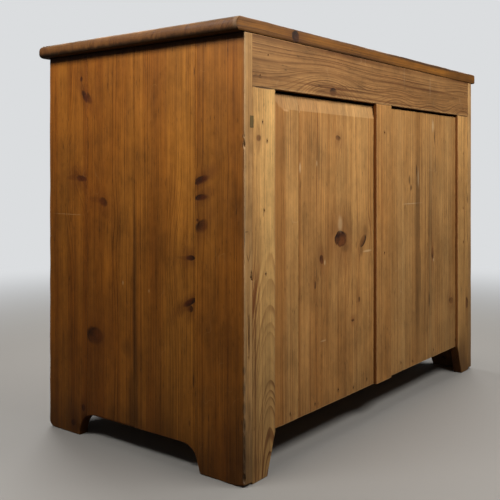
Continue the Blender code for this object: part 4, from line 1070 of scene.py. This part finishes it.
# painted light and shade on the old bevel: on both boards its top slope is painted paler, and on the outer
# board its side slope is painted darker and redder, by the last two tones and a warm tint
panel("back_right_panel_outer_board", pith=(0.14, -0.05), slopes=[("X", "warm", 0.3), ("Z", "bare", 0.26)],
      tones=[(0.365, -0.3), (0.410, 0.0), (0.424, 0.9), (0.461, 1.1)])
panel("back_right_panel_inner_board", pith=(-0.20, -0.07), slopes=[("Z", "bare", 0.26)],
      knots=[knot(0.206, 0.680, 0.010, 0.55, 0.3, 0.5, 0.6),
             knot(0.194, 0.449, 0.026, 0.68, 0.1, 1.0, 0.95, 0.14, 60),
             knot(0.092, 0.438, 0.012, 1.10, -0.6, 1.0, 0.55, 0.3, 200, 0.8),
             knot(0.275, 0.409, 0.007, 1.30, 0.2, 1.0, 0.95, 0.25, 60, 0.5),
             knot(0.302, 0.357, 0.004, 2.00, 0.0, 0.8, 0.4), knot(0.110, 0.299, 0.004, 1.60, 0.0, 0.6, 0.6),
             knot(0.140, 0.255, 0.006, 0.50)],
      tones=[(0.029, 0.0), (0.120, -0.2), (0.240, 0.2), (0.365, 0.4)],
      scrapes=[mark(0.295, 0.622, 0.003, 0.008, 0, 0.35), mark(0.360, 0.612, 0.004, 0.014, 0, 0.55),
               mark(0.196, 0.484, 0.011, 0.020, 0, 0.34),
               mark(0.070, 0.412, 0.024, 0.003, 0, 0.50), mark(0.262, 0.402, 0.003, 0.008, 0, 0.5),
               mark(0.268, 0.229, 0.014, 0.0022, 0, 0.35)],
      stains_and_shade=[mark(0.124, 0.430, 0.0014, 0.010, 0, 0.8), mark(0.296, 0.378, 0.002, 0.022, 0, 0.45),
              mark(0.299, 0.257, 0.0012, 0.120, 0, 0.55), mark(0.176, 0.428, 0.020, 0.012, 0, 0.30),
              mark(0.080, 0.462, 0.012, 0.018, 0, 0.30), mark(0.100, 0.415, 0.010, 0.014, 0, 0.35),
              mark(0.358, 0.575, 0.0020, 0.016, 0, 0.5)])
panel("back_left_panel_inner_board", finish="dry_pine", pith=(0.22, -0.05), contrast=1.15, blotch=0.9,
      tones=[(-0.273, 0.2), (-0.200, 0.3), (-0.120, -0.1), (-0.060, 0.5), (-0.029, 0.6)],
      scrapes=[mark(-0.173, 0.518, 0.064, 0.0014, 0, 0.40), mark(-0.211, 0.585, 0.004, 0.030, 0, 0.45)],
      stains_and_shade=[mark(-0.200, 0.605, 0.0050, 0.026, 0, 0.8), mark(-0.157, 0.581, 0.0060, 0.014, 0, 0.6),
              mark(-0.167, 0.560, 0.0050, 0.010, 0, 0.7), mark(-0.202, 0.560, 0.0040, 0.110, 0, 0.65),
              mark(-0.223, 0.327, 0.005, 0.100, 0, 0.5), mark(-0.207, 0.420, 0.020, 0.360, 0, 0.42)])
panel("back_left_panel_outer_board", finish="dry_pine", pith=(-0.16, -0.05), contrast=1.15, blotch=0.9,
      knots=[knot(-0.302, 0.376, 0.006, 2.6, 0, 0.7, 0.6), knot(-0.430, 0.224, 0.014, 0.6, 0.3, 0.4, 0.55)],
      tones=[(-0.471, 0.2), (-0.400, -0.2), (-0.273, 0.1)],
      stains_and_shade=[mark(-0.315, 0.701, 0.005, 0.024, 0, 0.6), mark(-0.319, 0.625, 0.005, 0.030, 0, 0.35),
              mark(-0.280, 0.247, 0.006, 0.030, 0, 0.7), mark(-0.286, 0.398, 0.012, 0.360, 0, 0.40)],
      scrapes=[mark(-0.293, 0.610, 0.0018, 0.130, 0, 0.18), mark(-0.304, 0.731, 0.006, 0.020, 0, 0.40),
               mark(-0.309, 0.355, 0.003, 0.006, 0, 0.5)])

# %% [markdown]
# ## Top
# The top is three boards, nosed along the front and the ends. Its ends show end grain, which drinks
# wax and turns dark, and the corners are worn pale where people grip and knock it. The dents along
# its back edge are cut, since a bump only shows inside an outline and never on it.

# %% Top boards
TOP = "XYZ"
TOP_END = 0.579
rubbed_in = [mark(across, end * TOP_END, 0.085, 0.0075, 0, strength) for end in (1, -1)
             for across, strength in ((-0.27, 0.9), (-0.14, 0.85), (0.0, 0.5), (0.13, 0.6), (0.26, 0.8))]
for node, pith, knots, crisp, more in (
        ("top_front_board", (-0.14, -0.05), [knot(-0.13, 0.22, 0.014), knot(-0.25, -0.31, 0.010)], "y+", {}),
        ("top_middle_board", (0.16, -0.04), [knot(0.02, -0.18, 0.016), knot(-0.05, 0.40, 0.009)], "y- y+", {}),
        ("top_rear_board", (0.17, -0.06), [knot(0.18, -0.35, 0.012)], "y-",
         dict(edge_knots=[knot(0.884, 0.392, 0.012, 1.0, 0, 1.0, 0.95, 0.25, 30, 0.0)],
              scrapes=[mark(0.308, 0.585, 0.007, 0.014, 0, 0.5)],
              edge_stains=[mark(0.897, -0.250, 0.006, 0.420, 0, 0.75),
                           mark(0.899, 0.220, 0.003, 0.320, 0, 0.6),
                           mark(0.875, 0.250, 0.003, 0.400, 0, 0.3),
                           mark(0.884, -0.480, 0.012, 0.120, 0, 0.4)]))):
    dents = bmesh.new()
    chance = random.Random(node)
    for _ in range(9 if node == "top_rear_board" else 0):
        gouge(dents, (chance.uniform(-0.57, 0.57), 0.3135, 0.9003),
              (chance.uniform(0.006, 0.022), chance.uniform(0.001, 0.002), chance.uniform(0.0008, 0.0016)))
    worn_board(node, TOP, dict(pith=pith, ring=0.0052, wander=0.016, redden=0.5, contrast=0.8, knots=knots,
                               stains_and_shade=rubbed_in, edge=("Y", "top_edge_pine"), wear=0.2,
                               # painted shade on the lower half of the nose and under the top
                               overhang_shade=[("Z", 0.885, 0.873, 0.9)], **more),
               radius=0.0035, crisp=crisp, cutters=dents if dents.verts else None)

# %% [markdown]
# ## Let-in patch
# Somebody once cut a small grey-green piece of wood into the back corner, over the joint. A stain
# could stand for it, but it catches the light along its edges. So it is made as a thin slip that
# lies flush, with slightly rounded arrises.

# %% Patch
patch_low, patch_high = Vector((0.5328, 0.3085, 0.6890)), Vector((0.5450, 0.31125, 0.7130))
shape = bmesh.new()
matrix = Matrix.Translation((patch_low + patch_high) / 2) @ Matrix.Diagonal((*(patch_high - patch_low), 1))
bmesh.ops.create_cube(shape, size=1, matrix=matrix)
bmesh.ops.bevel(shape, geom=shape.edges[:], offset=0.0004, segments=2, affect='EDGES')
patch_pine = pine("patch", "patch_wood", BACK, 5.0, pith=(0.5, 0.2), ring=0.003)
new_piece(to_mesh(shape, "let_in_patch"), "let_in_patch", "carcass", patch_pine)
print("patch:", rounded(patch_high - patch_low), "m")

# %% [markdown]
# ## Front frame and doors
# The front has two stiles with feet, a rail, an apron with a low arch, and a pair of framed doors.
# It has the same old pine in a honey brown. Each door is five pieces of wood, and each piece gets its
# own grain along its length, because grain that turns a corner is what gives a fake frame away.

# %% Front frame
for node, grain, crisp in (("front_right_stile", BACK, "x+ y+ z+"), ("front_left_stile", BACK, "x- y+ z+"),
                           ("front_top_rail", ACROSS_BACK, "x- x+ y+ z+"),
                           ("front_apron", ACROSS_BACK, "x- x+ y+ z+")):
    worn_board(node, grain, dict(pith=(0.10, 0.05), ring=0.0048, wander=0.012, contrast=0.7, blotch=1.2,
                                 knots=strewn_knots(node, grain, 2, 0.004, 0.009), overhang_shade=OVERHANG_SHADE,
                                 low_darkening=LOW_DARKENING if grain == BACK else 0.3), crisp=crisp, inner=("Y", 1))

# %% Doors
for side in ("left", "right"):
    knob_low, knob_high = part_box(f"{side}_door_knob")
    knob_middle = (knob_low + knob_high) / 2      # hands leave a dark patch round a knob
    for part, grain in (("hinge_stile", BACK), ("meeting_stile", BACK), ("top_rail", ACROSS_BACK),
                        ("bottom_rail", ACROSS_BACK), ("panel", BACK)):
        node = f"{side}_door_{part}"
        crisp = "x- x+" if grain == ACROSS_BACK else "z- z+" if part == "panel" else ""
        stains_and_shade = [mark(knob_middle.x, knob_middle.z, 0.035, 0.060, 0, 0.3)] if part == "meeting_stile" else []
        worn_board(node, grain, dict(pith=(0.10 if side == "left" else -0.10, 0.06), ring=0.0048, wander=0.014,
                                     knots=strewn_knots(node, grain, 3 if part == "panel" else 2, 0.004, 0.012),
                                     stains_and_shade=stains_and_shade, contrast=0.7, blotch=1.2, low_darkening=0.3, foot=0.0),
                   radius=0.0016, crisp=crisp, inner=("Y", 1))

# %% [markdown]
# ## Inside boards
# Floor, shelf, cleats and glue blocks were only planed, and no hand or broom wears them. They could
# be cut and rubbed like the rest, but their shape is already right. So they keep the solid's mesh
# and get a dry pale pine.

# %% Inside
def dress_solid(node, material):
    solid = frame["nodes"][node]
    solid.data.materials.clear()
    solid.data.materials.append(material)
    print(node, "keeps its own mesh")


for node, slot in SLOT_OF.items():
    if slot != "inside_pine":
        continue
    low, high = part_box(node)
    middle = (low + high) / 2
    grain = "YZX" if "cleat" in node else "XZY" if "block" in node else "XYZ"
    across, depth = "XYZ".index(grain[1]), "XYZ".index(grain[2])
    chance = random.Random(node)
    knots = strewn_knots(node, grain, 4 if grain == "XYZ" else 0, 0.005, 0.012)
    dress_solid(node, pine(node, slot, grain, chance.uniform(1, 50), ring=0.005, wander=0.015, knots=knots,
                           pith=(middle[across] + chance.choice((-0.12, 0.12)), middle[depth] - 0.05)))

# %% [markdown]
# ## Nails
# Each hole on the back still holds its nail, driven a little below the face. The heads are short
# discs of iron at the bottom of the holes. They never move apart, so they are all in one mesh. Old
# metal isn't one grey: tarnish lies in patches, and handling keeps the spots between them bright.

# %% Iron and brass
TARNISH_SCALE, SPECK_SCALE = 60.0, 840.0


def metal(name, base, worn_colour, tarnish, roughness):
    """Old metal: dull patches of tarnish over a base that is bright where it is handled."""
    material, tree, shader = new_material(name)
    place = add_node(tree, "TexCoord", {}, "Object")
    specks = grainy(place, SPECK_SCALE, 2.0, 0.6)
    amount = fade(specks * 0.35 + grainy(place, TARNISH_SCALE, 4.0, 0.6), 0.55, 0.82)
    bump = add_node(tree, "Bump", {"Strength": 0.5, "Distance": 0.0002, "Height": specks + amount}, "Normal")
    fill(shader, {"Base Color": tint(amount, tint(specks, base, worn_colour), tarnish),
                  "Metallic": 0.95 - amount * 0.65, "Roughness": amount * 0.3 + roughness, "Normal": bump})
    return material


iron = metal("old_iron", linear(98, 92, 86), linear(128, 120, 112), linear(70, 46, 30), 0.42)
brass = metal("old_brass", linear(176, 140, 76), linear(206, 172, 104), linear(92, 72, 42), 0.34)
METALS = {"iron": iron, "brass": brass}
print("metals:", ", ".join(METALS))

# %% Nail heads
NAIL_SUNK = 0.0014
HEAD_THICKNESS = 0.0016

shape = bmesh.new()
lie_back = Matrix.Rotation(math.radians(-90), 4, 'X')
for across, face, height in NAILS:
    matrix = Matrix.Translation((across, face - NAIL_SUNK - HEAD_THICKNESS / 2, height)) @ lie_back
    bmesh.ops.create_cone(shape, cap_ends=True, segments=12, radius1=NAIL_RADIUS * 0.8,
                          radius2=NAIL_RADIUS * 0.72, depth=HEAD_THICKNESS, matrix=matrix)
new_piece(to_mesh(shape, "back_nails"), "back_nails", "carcass", iron)
print("nails in the back:", len(NAILS))

# %% [markdown]
# ## Hinges and bolt
# The doors hang on plain butt hinges let into the edges, and the left door has a small brass bolt.
# Their solids are right as they are, so they only get old metal. What a solid leaves out are the
# screws: one slotted head is turned and cut, and every screw shares its mesh.

# %% Metal of the fittings
for node, slot in SLOT_OF.items():
    if slot in METALS:
        dress_solid(node, METALS[slot])


# %% Turned shapes
def turned_shape(outline, steps=40):
    """Spin an outline of (radius, height) points round the Z axis."""
    shape = bmesh.new()
    points = [shape.verts.new((radius, 0, height)) for radius, height in outline]
    edges = [shape.edges.new(pair) for pair in zip(points, points[1:])]
    bmesh.ops.spin(shape, geom=points + edges, cent=(0, 0, 0), axis=(0, 0, 1), angle=math.tau, steps=steps,
                   use_duplicate=False)
    bmesh.ops.remove_doubles(shape, verts=shape.verts, dist=1e-6)
    bmesh.ops.recalc_face_normals(shape, faces=shape.faces)
    return shape


# %% Screws
SCREW_RADIUS = 0.0030
SCREW_DOME = 0.0004
SLOT_WIDTH = 0.0007
LEAF_HALF = 0.0010        # half the gap between door and frame, in which the leaves show
LEAF_MIDDLE_Y = -0.2700
PLATE_FACE_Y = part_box("bolt_plate")[0].y + 0.0020

outline = [(0, -0.0008), (SCREW_RADIUS * 0.9, -0.0008), (SCREW_RADIUS, 0.0),
           (SCREW_RADIUS * 0.94, SCREW_DOME * 0.5), (SCREW_RADIUS * 0.6, SCREW_DOME * 0.9), (0, SCREW_DOME)]
slot_cutter = bmesh.new()
bmesh.ops.create_cube(slot_cutter, size=1, matrix=Matrix.Diagonal((SCREW_RADIUS * 3, SLOT_WIDTH, 0.0011, 1)))
screw_mesh = to_mesh(cut_away(turned_shape(outline, 24), slot_cutter), "screw", 30)
print("a screw head has", len(screw_mesh.polygons), "faces")


def screws(name, body, slot, places, outward):
    """Set shared screw heads at places, each with its slot turned another way."""
    shape = bmesh.new()
    for number, place in enumerate(places):
        upright = Vector((0, 0, 1)).rotation_difference(Vector(outward)).to_matrix().to_4x4()
        head = screw_mesh.copy()
        head.transform(Matrix.Translation(place) @ upright @ Matrix.Rotation(0.7 + 1.3 * number, 4, 'Z'))
        shape.from_mesh(head)
        bpy.data.meshes.remove(head)
    new_piece(to_mesh(shape, name), name, body, METALS[slot])
    print(name, len(places))


for hand, side in ((-1, "left"), (1, "right")):
    for level in ("upper", "lower"):
        pin_low, pin_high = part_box(f"{side}_{level}_hinge_pin")
        axis_x = (pin_low.x + pin_high.x) / 2
        leaf_low, leaf_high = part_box(f"{side}_{level}_hinge_door_leaf")
        middle = (leaf_low.z + leaf_high.z) / 2
        rows = [(LEAF_MIDDLE_Y + shift, middle + lift)
                for shift, lift in ((0.002, -0.024), (-0.002, 0), (0.002, 0.024))]
        screws(f"{side}_{level}_frame_screws", "carcass", "iron",
               [(axis_x + hand * LEAF_HALF, y, z) for y, z in rows], (-hand, 0, 0))
        screws(f"{side}_{level}_door_screws", f"{side}_door", "iron",
               [(axis_x - hand * LEAF_HALF, y, z) for y, z in rows], (hand, 0, 0))
plate_low, plate_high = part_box("bolt_plate")
keep_low, keep_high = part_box("bolt_keep")
inset = 0.0035
screws("bolt_plate_screws", "left_door", "brass",
       [(x, PLATE_FACE_Y, z) for x in (plate_low.x + inset, plate_high.x - inset)
        for z in (plate_low.z + 0.005, plate_high.z - 0.005)], OUT)
screws("bolt_keep_screws", "carcass", "brass",
       [(x, PLATE_FACE_Y, (keep_low.z + keep_high.z) / 2)
        for x in (keep_low.x + inset, keep_high.x - inset)], OUT)

# %% [markdown]
# ## Knobs and turn catch
# The knobs were turned on a lathe from a dark hardwood and have been polished by hands. The solid's
# few facets could be smoothed, but its outline would still show corners. So the outline is spun again
# with many more steps, with a small bead at the foot and two scribed rings. The grain of a turned
# knob runs along its spindle.

# %% Knobs
KNOB_BALL, KNOB_NECK, KNOB_FOOT = 0.0183, 0.0085, 0.0130
SPINDLE = 0.0050
WAIST = KNOB_FOOT - 0.0009


def knob_outline(shank, reach):
    """(radius, height) points: the shank in its bore, the bead, a hollow neck and the ball."""
    outline = [(0, -shank), (SPINDLE, -shank), (SPINDLE, 0.0002), (KNOB_FOOT, 0.0002), (KNOB_FOOT, 0.0014),
               (WAIST, 0.0020), (WAIST, 0.0026)]
    for step in range(1, 9):
        turn = math.pi / 2 * step / 8
        outline.append((WAIST + (KNOB_NECK - WAIST) * math.sin(turn),
                        0.0026 + (0.26 * reach - 0.0026) * (1 - math.cos(turn))))
    start = math.asin(KNOB_NECK / KNOB_BALL)
    base = 0.34 * reach
    for step in range(25):
        turn = start + (math.pi - start) * step / 24
        along = base + (reach - base) * (math.cos(start) - math.cos(turn)) / (math.cos(start) + 1)
        scribed = 0.0003 if step in (8, 18) else 0.0
        outline.append((max(0.0, KNOB_BALL * math.sin(turn) - scribed), along))
    return outline


for side in ("left", "right"):
    node = f"{side}_door_knob"
    low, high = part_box(node)
    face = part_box(f"{side}_door_meeting_stile")[0].y
    shape = turned_shape(knob_outline(high.y - face, face - low.y), 48)
    middle = (low + high) / 2
    turn_forward = Matrix.Translation((middle.x, face, middle.z)) @ Matrix.Rotation(math.radians(90), 4, 'X')
    bmesh.ops.transform(shape, matrix=turn_forward, verts=shape.verts)
    material = pine(node, "knob_wood", "YXZ", 9.0 if side == "left" else 31.0,
                    pith=(middle.x + 0.012, middle.z - 0.03), ring=0.0022, wander=0.004, contrast=0.7)
    turned = stand_in(shape, "turned_" + node, node, material, sharp=50)
    print(turned.name, "has", len(turned.data.polygons), "faces")

low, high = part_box("catch_tongue")
dress_solid("catch_tongue", pine("catch_tongue", "knob_wood", BACK, 17.0, pith=(low.x - 0.03, low.y - 0.02),
                                 ring=0.0025, wander=0.004, contrast=0.6))

# %% [markdown]
# ## Picture settings
# The picture could be graded, but the colours above were chosen for a plain view transform, so it
# stays plain.

# %% Picture settings
scene.view_settings.view_transform = 'Standard'
